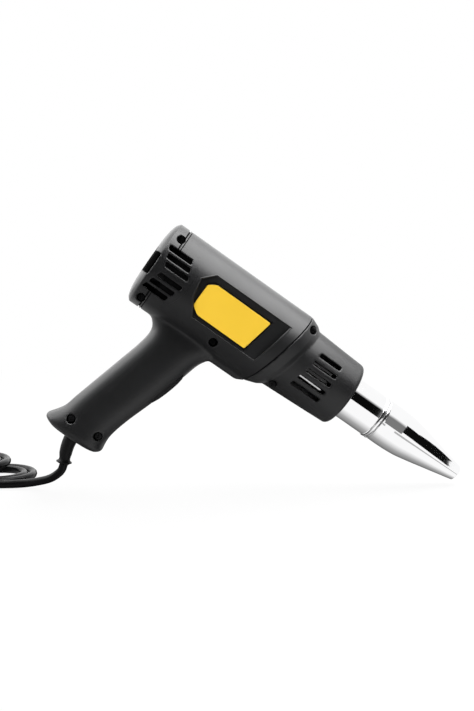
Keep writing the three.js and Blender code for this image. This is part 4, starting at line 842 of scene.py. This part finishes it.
class HotAirLead(bpy.types.Operator):
    """Mains lead from the strain relief to the plug, its tie, the plug and its pins."""

    bl_idname = "hot_air.lead"
    bl_label = "Lead and plug"

    def execute(self, context):
        s = sizes()
        low = s.table + s.cord / 2 + 0.1
        to_frame = Matrix.Scale(1 / MM, 4) @ tool_to_frame()
        line, heading = relief_line()
        run = [to_frame @ (line[-1] + heading * ahead) for ahead in (-4, 0, 1.5)]
        run += [Vector(place) for place in LEAD_WAY]
        run += [Vector((x, HANK.front, low)) for x in (LEAD_LANDS, HANK.start)]
        free = catmull(run, LEAD_STEPS)[LEAD_STEPS:]
        hank, plug_at, middle_x, middle_y, high = hank_points(low)
        points = [p * MM for p in free + hank[1:]]
        lead = self.tube(points, s.cord / 2 * MM)
        pieces = [self.tie(low, high, middle_x, middle_y), *self.plug(plug_at)]
        finish(lead, "tool", "cord_jacket", lead_jacket(), "cord_run", "cord_hank")
        return {"FINISHED"}

    def tube(self, points, radius):
        curve = bpy.data.curves.new("mains_lead", "CURVE")
        curve.dimensions = "3D"
        curve.bevel_depth = radius
        curve.bevel_resolution = 6
        curve.use_fill_caps = True
        spline = curve.splines.new("POLY")
        spline.points.add(len(points) - 1)
        for point, place in zip(spline.points, points):
            point.co = (*place, 1)
        spline.use_smooth = True
        lead = bpy.data.objects.new("mains_lead", curve)
        bpy.context.scene.collection.objects.link(lead)
        return lead

    def tie(self, low, high, middle_x, middle_y):
        """Rubber band round the waist of the folded lead."""
        around = sizes().cord / 2 + 3 * GAP
        front = middle_y - HANK.outer + HANK.waist - around
        rear = middle_y + HANK.outer - HANK.step / 2 - HANK.waist + around
        under, over = low + HANK.lift - around, high + HANK.lift + around
        bm = bmesh.new()
        box_between(bm, (middle_x - TIE_HALF_WIDTH, front - TIE_THICKNESS, under - TIE_THICKNESS),
                    (middle_x + TIE_HALF_WIDTH, rear + TIE_THICKNESS, over + TIE_THICKNESS))
        sides = [f for f in bm.faces if abs(f.normal.x) > 0.9]
        bmesh.ops.inset_region(bm, faces=sides, thickness=2 * TIE_THICKNESS, use_even_offset=True)
        bmesh.ops.bridge_loops(bm, edges=list({e for f in sides for e in f.edges}))
        bmesh.ops.delete(bm, geom=[f for f in sides if f.is_valid], context="FACES_ONLY")
        long = [e for e in bm.edges if abs((e.verts[0].co - e.verts[1].co).normalized().x) > 0.99]
        bmesh.ops.bevel(bm, geom=long, offset=TIE_CORNER, segments=5, profile=0.5, affect="EDGES",
                        material=-1)
        tie = mesh_object("hank_strap", bm)
        soft_edges(tie, 0.4, angle=60)
        return finish(tie, "tool", "black_rubber", soft_rubber(), "hank_tie")

    def plug(self, plug_at):
        """Moulded plug that lies on the table, and its two pins."""
        y, z = HANK.front, sizes().table + PLUG_MIDDLE
        count, rings = 48, []
        for back, wide, tall, power in PLUG_ROWS:
            turns = [bulged(2 * math.pi * k / count, power) for k in range(count)]
            rings.append([(plug_at - back, y - wide * c, z + tall * d) for c, d in turns])
        bm = bmesh.new()
        bridge_rings(bm, rings)
        plug = mesh_object("plug_moulding", bm)
        smooth(plug)
        ease = plug.modifiers.new("ease", "SUBSURF")
        ease.levels = ease.render_levels = 1
        finish(plug, "tool", "cap_plastic", cap_plastic(), "plug_body")
        pins = []
        for k, side in enumerate((-PIN_OFF, PIN_OFF)):
            tip, root = plug_at - PIN_TIP, plug_at - PIN_ROOT
            bm = bmesh.new()
            point = [(tip + x, r) for x, r in PIN_POINT]
            spin_profile(bm, [*point, (root, PIN_RADIUS), (root, 0)], 40)
            bmesh.ops.translate(bm, verts=bm.verts, vec=(0, y + side, z))
            pin = mesh_object(f"plug_prong_{k + 1}", bm)
            soft_edges(pin, 0.15)
            pins.append(finish(pin, "tool", "brass", pin_brass(), f"plug_pin_{k + 1}"))
        return [plug, *pins]


# Moulded shells

def handle_rings(inset, count):
    """Sections of the handle, eased between the given ones; an inset keeps clear of the foot's floor."""
    floor, least_step = FOOT_BOTTOM + inset * 1.2, 0.05
    rings = []
    for z, rear, front, half in catmull([Vector(row) for row in HANDLE_SECTIONS], per_span=3):
        reach, middle = (front - rear) / 2 - inset, (front + rear) / 2
        height = max(z, floor) if z < FOOT_TOP and inset else z
        if inset and rings and height >= rings[-1][0][2] - least_step:
            continue
        turns = [bulged(2 * math.pi * k / count, HANDLE_POWER) for k in range(count)]
        rings.append([(middle + reach * c, (half - inset) * d, height) for c, d in turns])
    return rings


def seam_at(z):
    return sizes().front_seam + sizes().seam_slope * z


def tongue_outline(grow):
    """Side view of the cap's tongues, whose front edge bows out."""
    high, side, steps = TONGUE_HALF + grow, TONGUE_FRONT + grow, 16
    curve = []
    for k in range(steps + 1):
        t = k / steps
        curve.append((side + TONGUE_BOW * t * (1 - t), -high + 2 * high * t))
    return [(-FAR, -high), *curve, (-FAR, high)]


def seam_grooves():
    """Two fine grooves along the rear seam, above and below the side slots."""
    seam = sizes().rear_seam
    below, above = GROOVE_STOPS

    def rings(bm):
        for start, end, floor in SEAM_GROOVES:
            hoop(bm, seam + start, seam + end, floor, GROOVE_OUTER)

    grooves = shaped(rings)
    cut(grooves, lambda bm: box_between(bm, (0, -FAR, below), (20, FAR, above)))
    return grooves


def switch_to_tool():
    s = sizes()
    return Matrix.Translation((s.switch_x, 0, s.switch_z)) @ Matrix.Rotation(s.switch_lean, 4, "Y")


def rods(places, low, radius):
    """Bars from the seats outwards on both sides; low is counted from each seat."""
    def build(bm):
        for x, z, seat in places:
            cross_rod(bm, x, z, seat + low, FAR, radius)
            cross_rod(bm, x, z, -FAR, -seat - low, radius)
    return build


class HotAirHousing(bpy.types.Operator):
    """Body and handle, moulded in a right and a left half."""

    bl_idname = "hot_air.housing"
    bl_label = "Housing halves"

    def execute(self, context):
        s = sizes()
        bead_seat = s.body_radius - PANEL_BEAD_SUNK
        form = shaped(self.outer_form, name="housing_form")
        moulded(form, voxel=1.1, rounds=14)
        cut(form, self.below_foot, self.barrel_hollow, self.handle_hollow, self.switch_window,
            self.relief_hole)
        pocket_room = [rods(places, -POCKET_FLOOR - 0.1, POCKET_RADIUS + 0.04)
                       for places in (CAP_SCREWS, NOSE_SCREWS)]
        for name, side in SIDES:
            half = bpy.data.objects.new(f"{name}_housing_half", form.data.copy())
            context.scene.collection.objects.link(half)
            low, high = sorted((side * HALF_GAP, side * FAR))
            clip(half, lambda bm: box_between(bm, (BEHIND, low, BELOW), (AHEAD, high, ABOVE)))
            if side < 0:
                cut(half, self.counterbores)
            moulded(half, s.voxel, rounds=2)
            cut(half, self.ahead_of_seam, self.behind_cap, self.rear_rebate, self.front_rebate, self.panels,
                self.plate_beds, self.tongue_gap, *pocket_room)
            combine(half, seam_grooves(), "DIFFERENCE")
            add(half, lambda bm: bead_round(bm, PANEL_EDGE, side, bead_seat, PANEL_BEAD))
            crisp(half)
            finish(half, "tool", "black_plastic", body_plastic(), f"housing_{name}")
            # Painted shade in the fine grooves along the rear seam.
            paint_shade_where(half, self.in_groove)
        bpy.data.objects.remove(form)
        return {"FINISHED"}

    def in_groove(self, p):
        """The fine grooves along the rear seam, below the outer face of the body, which are painted black as
        shade.
        """
        past_grooves = SEAM_GROOVES[-1][1] + 0.4
        return p.x < sizes().rear_seam + past_grooves and math.hypot(p.y, p.z) < sizes().body_radius - 0.2

    def outer_form(self, bm):
        """Round body, handle, and the keel under the front of the body."""
        s = sizes()
        drum(bm, BODY_REAR, BODY_FRONT, s.body_radius, s.sides)
        bridge_rings(bm, handle_rings(inset=0, count=72))
        low = -s.body_radius - KEEL_DEPTH
        front = seam_at(low)
        keel = [(KEEL_REAR, KEEL_ROOT), (KEEL_REAR + 4, low), (front - 5, low), (front + 1, -s.body_radius),
                (front + 6, KEEL_ROOT)]
        draw_out(bm, keel, -KEEL_HALF_WIDTH, KEEL_HALF_WIDTH)

    def ahead_of_seam(self, bm):
        gap = sizes().seam_gap
        outline = [(seam_at(-FAR) - gap, -FAR), (AHEAD, -FAR), (AHEAD, FAR), (seam_at(FAR) - gap, FAR)]
        draw_out(bm, outline, -FAR, FAR)

    def behind_cap(self, bm):
        box_between(bm, (BEHIND, -FAR, HANDLE_CLEAR), (sizes().rear_seam + sizes().seam_gap / 2, FAR, ABOVE))

    def rear_rebate(self, bm):
        drum(bm, BODY_REAR, REBATE_FRONT, REAR_REBATE)

    def front_rebate(self, bm):
        seam = sizes().front_seam
        drum(bm, seam - 7, seam + 9, FRONT_REBATE)
        lean_with_seam(bm)

    def barrel_hollow(self, bm):
        """Round hollow, flattened behind the side panels."""
        reach = sizes().panel_face - WALL
        drum(bm, BEHIND, AHEAD, sizes().body_radius - WALL)
        for v in bm.verts:
            v.co.y = max(-reach, min(reach, v.co.y))

    def handle_hollow(self, bm):
        bridge_rings(bm, handle_rings(inset=WALL, count=48))

    def panels(self, bm):
        draw_both_sides(bm, PANEL_OUTLINE, sizes().panel_face)

    def plate_beds(self, bm):
        """Shallow beds round the plates."""
        (middle_x, middle_z), (grow_x, grow_z) = PLATE_MIDDLE, PLATE_BED_GROWTH
        outline = [(middle_x + (x - middle_x) * grow_x, middle_z + (z - middle_z) * grow_z)
                   for x, z in PLATE_OUTLINE]
        draw_both_sides(bm, outline, sizes().panel_face - PLATE_BED_DEPTH)

    def tongue_gap(self, bm):
        draw_out(bm, tongue_outline(grow=0.04), -FAR, FAR)

    def switch_window(self, bm):
        centred_box(bm, -22, 30, half_width=9, half_height=15)
        bmesh.ops.transform(bm, matrix=switch_to_tool(), verts=bm.verts)

    def below_foot(self, bm):
        box_between(bm, (BEHIND, -FAR, BELOW), (AHEAD, FAR, FOOT_BOTTOM))

    def relief_hole(self, bm):
        place = Matrix.Translation((sizes().relief_x, 0, FOOT_BOTTOM))
        bmesh.ops.create_cone(bm, cap_ends=True, segments=40, radius1=RELIEF_HOLE, radius2=RELIEF_HOLE,
                              depth=16, matrix=place)

    def counterbores(self, bm):
        for x, z, seat in BODY_SCREWS:
            cross_rod(bm, x, z, -FAR, -seat, BODY_BORE)


class HotAirCap(bpy.types.Operator):
    """Domed intake cap with its slotted tongues and screw pockets."""

    bl_idname = "hot_air.cap"
    bl_label = "Rear cap"

    def execute(self, context):
        s = sizes()
        cap = shaped(lambda bm: self.blank(bm, s.rear_seam + 2), name="intake_cap")
        cut(cap, self.hollow)
        add(cap, self.tongue_ring)
        pockets = shaped(rods(CAP_SCREWS, -POCKET_FLOOR, CAP_BOSS))
        clip(pockets, lambda bm: self.blank(bm, s.rear_seam + 7))
        combine(cap, pockets, "UNION")
        add(cap, self.lip)
        cut(cap, rods(CAP_SCREWS, 0, SCREW_BORE), self.side_slots, self.notches)
        add(cap, self.baffle)
        cut(cap, self.tail_slots)
        moulded(cap, voxel=0.6, rounds=2)
        limits = shaped(self.limits)
        add(limits, rods(CAP_SCREWS, -4, POCKET_RADIUS), self.lip_room)
        combine(cap, limits, "INTERSECT")
        combine(cap, seam_grooves(), "DIFFERENCE")
        crisp(cap)
        finish(cap, "tool", "cap_plastic", cap_plastic(), "rear_cap")
        # Painted shade in the inlet across the tail and on the lip behind the seam.
        paint_shade_where(cap, self.in_recess)
        return {"FINISHED"}

    def in_recess(self, p):
        """The inlet across the middle of the tail, and the lip behind the seam, which are painted black as
        shade.
        """
        if p.x < INLET_FRONT - 0.1:
            return abs(p.z - SIDE_SLOT_MIDDLE) < INLET_HALF
        below, above = GROOVE_STOPS
        past_seam = sizes().rear_seam - 1.2 < p.x < LIP_FRONT + 0.5
        return past_seam and math.hypot(p.y, p.z) < LIP_OUTER + 0.5 and not below < p.z < above

    def limits(self, bm):
        """Everything behind the rear seam, and the tongues in front of it."""
        seam = sizes().rear_seam - sizes().seam_gap / 2
        tongue = tongue_outline(grow=0)
        high = tongue[-1][1]
        outline = [(-FAR, -FAR), (seam, -FAR), (seam, -high), *tongue[1:-1], (seam, high), (seam, FAR),
                   (-FAR, FAR)]
        draw_out(bm, outline, -FAR, FAR)

    def lip(self, bm):
        """Inner lip that closes the seam from behind."""
        hoop(bm, LIP_REAR, LIP_FRONT, LIP_INNER, LIP_OUTER)

    def lip_room(self, bm):
        drum(bm, BODY_REAR, REBATE_FRONT, LIP_ROOM)

    def notches(self, bm):
        """Inlet notches in the rim, left and right of the tail."""
        for low, high in ((INLET_FLOOR, FAR), (-FAR, -INLET_FLOOR)):
            box_between(bm, (BEHIND, low, SIDE_SLOT_MIDDLE - INLET_HALF),
                        (INLET_FRONT, high, SIDE_SLOT_MIDDLE + INLET_HALF))

    def blank(self, bm, to):
        """Domed tail with a straight rim."""
        r = sizes().cap_radius
        spin_profile(bm, [*CAP_DOME, (0.6, r), (to, r), (to, 0)], sizes().sides)

    def hollow(self, bm):
        r = sizes().cap_radius - CAP_WALL
        spin_profile(bm, [*CAP_HOLLOW, (1.8, r), (AHEAD, r), (AHEAD, 0)], steps=96)

    def tongue_ring(self, bm):
        r = sizes().body_radius
        hoop(bm, TONGUE_RING_REAR, TONGUE_RING_FRONT, r - CAP_WALL, r, sizes().sides)

    def baffle(self, bm):
        """Inner ring that closes the view between the slots and the fan."""
        hoop(bm, BAFFLE_REAR, BAFFLE_FRONT, BAFFLE_INNER, BAFFLE_OUTER, 64)

    def side_slots(self, bm):
        """Slots whose ends follow the round of the tail."""
        def rear(z):
            return SIDE_SLOT_REAR - SIDE_SLOT_SWEEP * abs(z - SIDE_SLOT_MIDDLE)

        for z in SIDE_SLOT_HEIGHTS:
            low, high = z - SIDE_SLOT_HALF, z + SIDE_SLOT_HALF
            draw_both_sides(bm, [(rear(low), low), (rear(low) + SIDE_SLOT_LENGTH, low),
                                 (rear(high) + SIDE_SLOT_LENGTH, high), (rear(high), high)], SIDE_SLOT_FLOOR)

    def tail_slots(self, bm):
        for k in range(-3, 4):
            middle = TAIL_SLOT_PITCH * k
            box_between(bm, (BEHIND, middle - TAIL_SLOT_HALF_WIDTH, -TAIL_SLOT_HALF_HEIGHT),
                        (TAIL_SLOT_FRONT, middle + TAIL_SLOT_HALF_WIDTH, TAIL_SLOT_HALF_HEIGHT))


class HotAirNose(bpy.types.Operator):
    """Nose shell whose shoulder follows the oblique seam."""

    bl_idname = "hot_air.nose"
    bl_label = "Nose shell"

    def execute(self, context):
        s = sizes()

        def outer(bm):
            self.form(bm, 0, s.front_seam + s.seam_gap, s.nose_front)

        nose = shaped(outer, name="nose_moulding")
        cut(nose, lambda bm: self.form(bm, WALL, s.front_seam - 20, s.nose_front - WALL))
        pockets = shaped(rods(NOSE_SCREWS, -POCKET_FLOOR, POCKET_RADIUS))
        clip(pockets, outer)
        combine(nose, pockets, "UNION")
        add(nose, self.spigot)
        cut(nose, rods(NOSE_SCREWS, 0, SCREW_BORE), self.slots, self.mouth)
        moulded(nose, voxel=0.66, rounds=2)
        finish(nose, "tool", "black_plastic", body_plastic(), "nose_shell")
        return {"FINISHED"}

    def form(self, bm, inset, start, end):
        """Shoulder and taper, leaning with the seam at the rear and square at the front."""
        s = sizes()
        edge_length, edge_radius = NOSE_EDGE[0]
        shoulder_end = s.front_seam + SHOULDER_END
        slope = (SHOULDER_RADIUS - edge_radius) / (s.nose_front - edge_length - shoulder_end)

        def taper(x):
            return SHOULDER_RADIUS - slope * (x - shoulder_end) - inset

        rows = [(start, 0), (start, s.body_radius - inset)]
        rows += [(s.front_seam + x, r - inset) for x, r in NOSE_SHOULDER if s.front_seam + x > start + 0.05]
        rows += [(x, taper(x)) for x in NOSE_STATIONS]
        rows += [(end, taper(end))] if inset else [(end - x, r) for x, r in NOSE_EDGE]
        spin_profile(bm, [*rows, (end, 0)], s.sides)
        for v in bm.verts:
            past = (v.co.x - shoulder_end) / (NOSE_SQUARE_AT - shoulder_end)
            v.co.x += s.seam_slope * within(1 - past) * v.co.z

    def spigot(self, bm):
        """Inner lip that closes the oblique seam from behind."""
        seam = sizes().front_seam
        hoop(bm, seam - 6.5, seam + 3, FRONT_LIP_INNER, FRONT_LIP_OUTER)
        lean_with_seam(bm)

    def slots(self, bm):
        for z in NOSE_SLOT_HEIGHTS:
            rear, front = NOSE_SLOT_REAR + NOSE_SLOT_LEAN * z, NOSE_SLOT_FRONT
            low, high = z - NOSE_SLOT_HALF, z + NOSE_SLOT_HALF
            draw_both_sides(bm, [(rear - NOSE_SLOT_SKEW, low), (front, low), (front, high),
                                 (rear + NOSE_SLOT_SKEW, high)], NOSE_SLOT_FLOOR)

    def mouth(self, bm):
        s = sizes()
        drum(bm, s.nose_front - 6, s.nose_front + 6, s.nose_mouth)


def catmull_pairs(pairs, per_span):
    return [(p.x, p.y) for p in catmull([Vector(pair) for pair in pairs], per_span)]


# Metal, plates, screws, switch and relief

class HotAirBarrel(bpy.types.Operator):
    """Chromed barrel tube and the pull-off reducer nozzle."""

    bl_idname = "hot_air.barrel"
    bl_label = "Barrel and reducer"

    def execute(self, context):
        front, r = sizes().tube_front, sizes().tube_radius
        steps, bead = 8, []
        for k in range(steps):
            turn = math.pi * k / steps
            behind = TUBE_BEAD_LENGTH * (1 + math.cos(turn)) / 2
            bead.append((front - behind, r + TUBE_BEAD_HEIGHT * math.sin(turn)))
        self.turned("chromed_barrel", "tool", "barrel_tube", [
            (TUBE_REAR, r - TUBE_WALL), (TUBE_REAR, r), (FLANGE_REAR, r), (FLANGE_REAR, FLANGE_RADIUS),
            (FLANGE_FRONT, FLANGE_RADIUS), (FLANGE_FRONT, r), *bead,
            (front - 0.1, r - 0.1), (front, r - 0.3), (front, r - TUBE_WALL),
        ])
        start = front + GAP
        rear = start - SPIGOT_LENGTH
        collar = [(start + x, radius) for x, radius in COLLAR]
        self.turned("reducer_cone", "reducer", "reducer_nozzle", [
            (rear, SPIGOT_BORE), (rear, SPIGOT_RADIUS), (start, SPIGOT_RADIUS), *collar[:-1],
            *catmull_pairs((collar[-1], *REDUCER_PROFILE), per_span=4),
            *catmull_pairs(REDUCER_BORE, per_span=3),
            (start + 2, SPIGOT_RADIUS), (start, SPIGOT_BORE),
        ])
        return {"FINISHED"}

    def turned(self, name, body, node, rows):
        piece = shaped(lambda bm: spin_profile(bm, rows, 160, closed=True), name=name)
        soft_edges(piece, 0.12, angle=50)
        finish(piece, body, "chrome", chrome(), node)


class HotAirPlates(bpy.types.Operator):
    """Plain yellow plates on both side panels."""

    bl_idname = "hot_air.plates"
    bl_label = "Side plates"

    def execute(self, context):
        low = sizes().panel_face + GAP
        for name, side in SIDES:
            bm = bmesh.new()
            draw_out(bm, PLATE_OUTLINE, *sorted((side * low, side * (low + PLATE_THICKNESS))))
            upright = [e for e in bm.edges if abs((e.verts[0].co - e.verts[1].co).normalized().y) > 0.9]
            bmesh.ops.bevel(bm, geom=upright, offset=PLATE_CORNER, segments=5, profile=0.5, affect="EDGES",
                            material=-1)
            plate = mesh_object(f"{name}_side_plate", bm, tool_to_frame())
            soft_edges(plate, 0.3)
            finish(plate, "tool", "yellow_plate", plate_yellow(), f"plate_{name}")
        return {"FINISHED"}


class HotAirScrews(bpy.types.Operator):
    """Cross-headed screws at the bottom of the pockets."""

    bl_idname = "hot_air.screws"
    bl_label = "Screws"

    def execute(self, context):
        for group, places in (("cap", CAP_SCREWS), ("nose", NOSE_SCREWS)):
            for i, place in enumerate(places):
                for k, side in enumerate((-1, 1)):
                    self.screw(f"{group}_screw_{2 * i + k + 1}", place, side, place[2] - SHANK_LENGTH)
        for i, place in enumerate(BODY_SCREWS):
            self.screw(f"body_screw_{i + 1}", place, -1, BODY_SCREW_TIP)
        return {"FINISHED"}

    def screw(self, node, place, side, tip):
        """Screw whose head rests on its seat, on one side of the middle plane."""
        x, z, seat = place
        under, top = seat + GAP, seat + GAP + HEAD_HEIGHT
        bm = bmesh.new()
        head = [(under, 2.7), (under + 0.2, 2.85), (top - 0.9, 2.8), (top - 0.4, 2.45), (top - 0.1, 1.8),
                (top, 0)]
        spin_profile(bm, [(tip, 0), (tip, 0.9), (tip + 1, SHANK_RADIUS), (under, SHANK_RADIUS), *head], 32)
        stand = Matrix.Translation((x, 0, z)) @ Matrix.Rotation(side * math.pi / 2, 4, "Z")
        bmesh.ops.transform(bm, matrix=stand, verts=bm.verts)
        screw = mesh_object(f"{node}_head", bm, tool_to_frame())
        low, high = sorted((side * (top - 1), side * (top + 1)))
        for dx, dz in ((CROSS_HALF_LENGTH, CROSS_HALF_WIDTH), (CROSS_HALF_WIDTH, CROSS_HALF_LENGTH)):
            cut(screw, lambda bm: box_between(bm, (x - dx, low, z - dz), (x + dx, high, z + dz)))
        soft_edges(screw, 0.1, angle=40)
        # The screws' near-black finish is painted shade of their pockets.
        finish(screw, "tool", "zinc", zinc(), node)


class HotAirSwitch(bpy.types.Operator):
    """Three-way rocker switch in the front edge of the handle."""

    bl_idname = "hot_air.switch"
    bl_label = "Switch"

    def execute(self, context):
        place = tool_to_frame() @ switch_to_tool()
        holder = shaped(self.rails, place, "switch_frame")
        add(holder, self.box, matrix=place)
        cut(holder, self.well, matrix=place)
        soft_edges(holder, 0.6)
        finish(holder, "tool", "cap_plastic", cap_plastic(), "switch_body")
        rocker = shaped(self.key, place, "rocker_key")
        for z in KEY_GROOVES:
            cut(rocker, lambda bm: self.key_groove(bm, z), matrix=place)
        cut(rocker, lambda bm: cross_rod(bm, PIVOT, 0, -9, 9, KEY_PIN_BORE), matrix=place)
        soft_edges(rocker, 0.35)
        finish(rocker, "rocker", "black_rubber", soft_rubber(), "switch_rocker")
        return {"FINISHED"}

    def rails(self, bm):
        outline = [(x, -z) for x, z in reversed(RAIL_HALF_OUTLINE)] + list(RAIL_HALF_OUTLINE)
        draw_out(bm, outline, -RAIL_HALF_WIDTH, RAIL_HALF_WIDTH)

    def box(self, bm):
        centred_box(bm, -19, -1.8, half_width=8.7, half_height=14.7)

    def well(self, bm):
        centred_box(bm, PIVOT - 5, 20, half_width=6.6, half_height=13.2)

    def key(self, bm):
        draw_out(bm, [(PIVOT + x, z) for x, z in KEY_OUTLINE], -KEY_HALF_WIDTH, KEY_HALF_WIDTH)

    def key_groove(self, bm, z):
        centred_box(bm, PIVOT + 3.9, PIVOT + 8, half_width=4.6, half_height=0.3, z=z)


class HotAirRelief(bpy.types.Operator):
    """Tapered strain relief that droops with the lead and flares at its end."""

    bl_idname = "hot_air.relief"
    bl_label = "Strain relief"

    def execute(self, context):
        line, heading = relief_line()
        end = line.pop()
        bend_at = len(line) - RELIEF_STEPS - 1
        rows = [(p, RELIEF_ROOT_RADIUS - RELIEF_TAPER * max(0, i - bend_at) / RELIEF_STEPS)
                for i, p in enumerate(line)]
        rows += [(end - heading * back, radius) for back, radius in RELIEF_LIP]
        count, rings = 48, []
        for i, (p, radius) in enumerate(rows):
            ahead = rows[min(i + 1, len(rows) - 1)][0] - rows[max(i - 1, 0)][0]
            turn = Vector((0, 0, -1)).rotation_difference(ahead)
            rings.append([p + turn @ Vector((radius * math.cos(a), radius * math.sin(a), 0))
                          for a in (2 * math.pi * k / count for k in range(count))])
        relief = shaped(lambda bm: bridge_rings(bm, rings), name="lead_relief")
        smooth(relief)
        finish(relief, "tool", "black_rubber", soft_rubber(), "strain_relief")
        return {"FINISHED"}


class HotAirInside(bpy.types.Operator):
    """Finishes of the pieces inside the shells."""

    bl_idname = "hot_air.inside"
    bl_label = "Inner pieces"

    def execute(self, context):
        dark = grained("dark_inner_plastic", (0.004, 0.004, 0.0042), 0.8, specular=0.1)
        pale = grained("pale_inner_plastic", (0.55, 0.53, 0.48), 0.55)
        mica = grained("mica_sheet", (0.4, 0.33, 0.22), 0.6, grain=500, depth=0.05)
        steel = grained("plain_steel", (0.33, 0.34, 0.35), 0.35, metallic=1.0)
        brass = grained("plain_brass", (0.54, 0.35, 0.08), 0.35, metallic=1.0)
        copper = grained("lacquered_copper", (0.44, 0.15, 0.05), 0.35, metallic=1.0)
        finishes = {
            "motor_mount": dark, "fan_wheel": dark, "motor_end_cap": pale, "air_funnel": pale,
            "insulating_sleeve": mica, "heater_base": mica, "heater_grid": mica, "heater_cross": mica,
            "heating_coil": steel, "motor_can": steel, "motor_shaft": steel, "rocker_pin": steel,
            "rear_bush": brass, "front_bush": brass, "rotor_core": copper, "commutator": copper,
            "switch_terminal_1": brass, "switch_terminal_2": brass, "switch_terminal_3": brass,
            "rectifier_board": grained("green_board", (0.03, 0.15, 0.06), 0.4),
            "live_lead": grained("red_lead_sleeve", (0.38, 0.023, 0.016), 0.45),
            "neutral_lead": grained("blue_lead_sleeve", (0.026, 0.075, 0.29), 0.45),
        }
        ferrite = grained("motor_ferrite", (0.045, 0.045, 0.047), 0.7, grain=700, depth=0.05)
        for node in ("magnet_upper", "magnet_lower", "brush_right", "brush_left"):
            finishes[node] = ferrite
        for node, material in finishes.items():
            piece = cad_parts[node]
            piece.data.materials.clear()
            piece.data.materials.append(material)
        return {"FINISHED"}


class HotAirPanel(bpy.types.Panel):
    """Lists the operators in the order they are run."""

    bl_idname = "VIEW3D_PT_hot_air"
    bl_label = "Hot air tool"
    bl_space_type = "VIEW_3D"
    bl_region_type = "UI"
    bl_category = "Hot air tool"

    def draw(self, context):
        for operator in OPERATORS:
            self.layout.operator(operator.bl_idname)


OPERATORS = (HotAirStage, HotAirLead, HotAirHousing, HotAirCap, HotAirNose, HotAirBarrel, HotAirPlates,
             HotAirScrews, HotAirSwitch, HotAirRelief, HotAirInside)
CLASSES = (HotAirSizes, HotAirColours, *OPERATORS, HotAirPanel)


def register():
    for cls in CLASSES:
        bpy.utils.register_class(cls)
    bpy.types.Scene.hot_air_sizes = PointerProperty(type=HotAirSizes)
    bpy.types.Scene.hot_air_colours = PointerProperty(type=HotAirColours)


def unregister():
    del bpy.types.Scene.hot_air_sizes
    del bpy.types.Scene.hot_air_colours
    for cls in reversed(CLASSES):
        bpy.utils.unregister_class(cls)


def main():
    register()
    for operator in OPERATORS:
        group, call = operator.bl_idname.split(".")
        getattr(getattr(bpy.ops, group), call)()


if __name__ == "__main__":
    main()
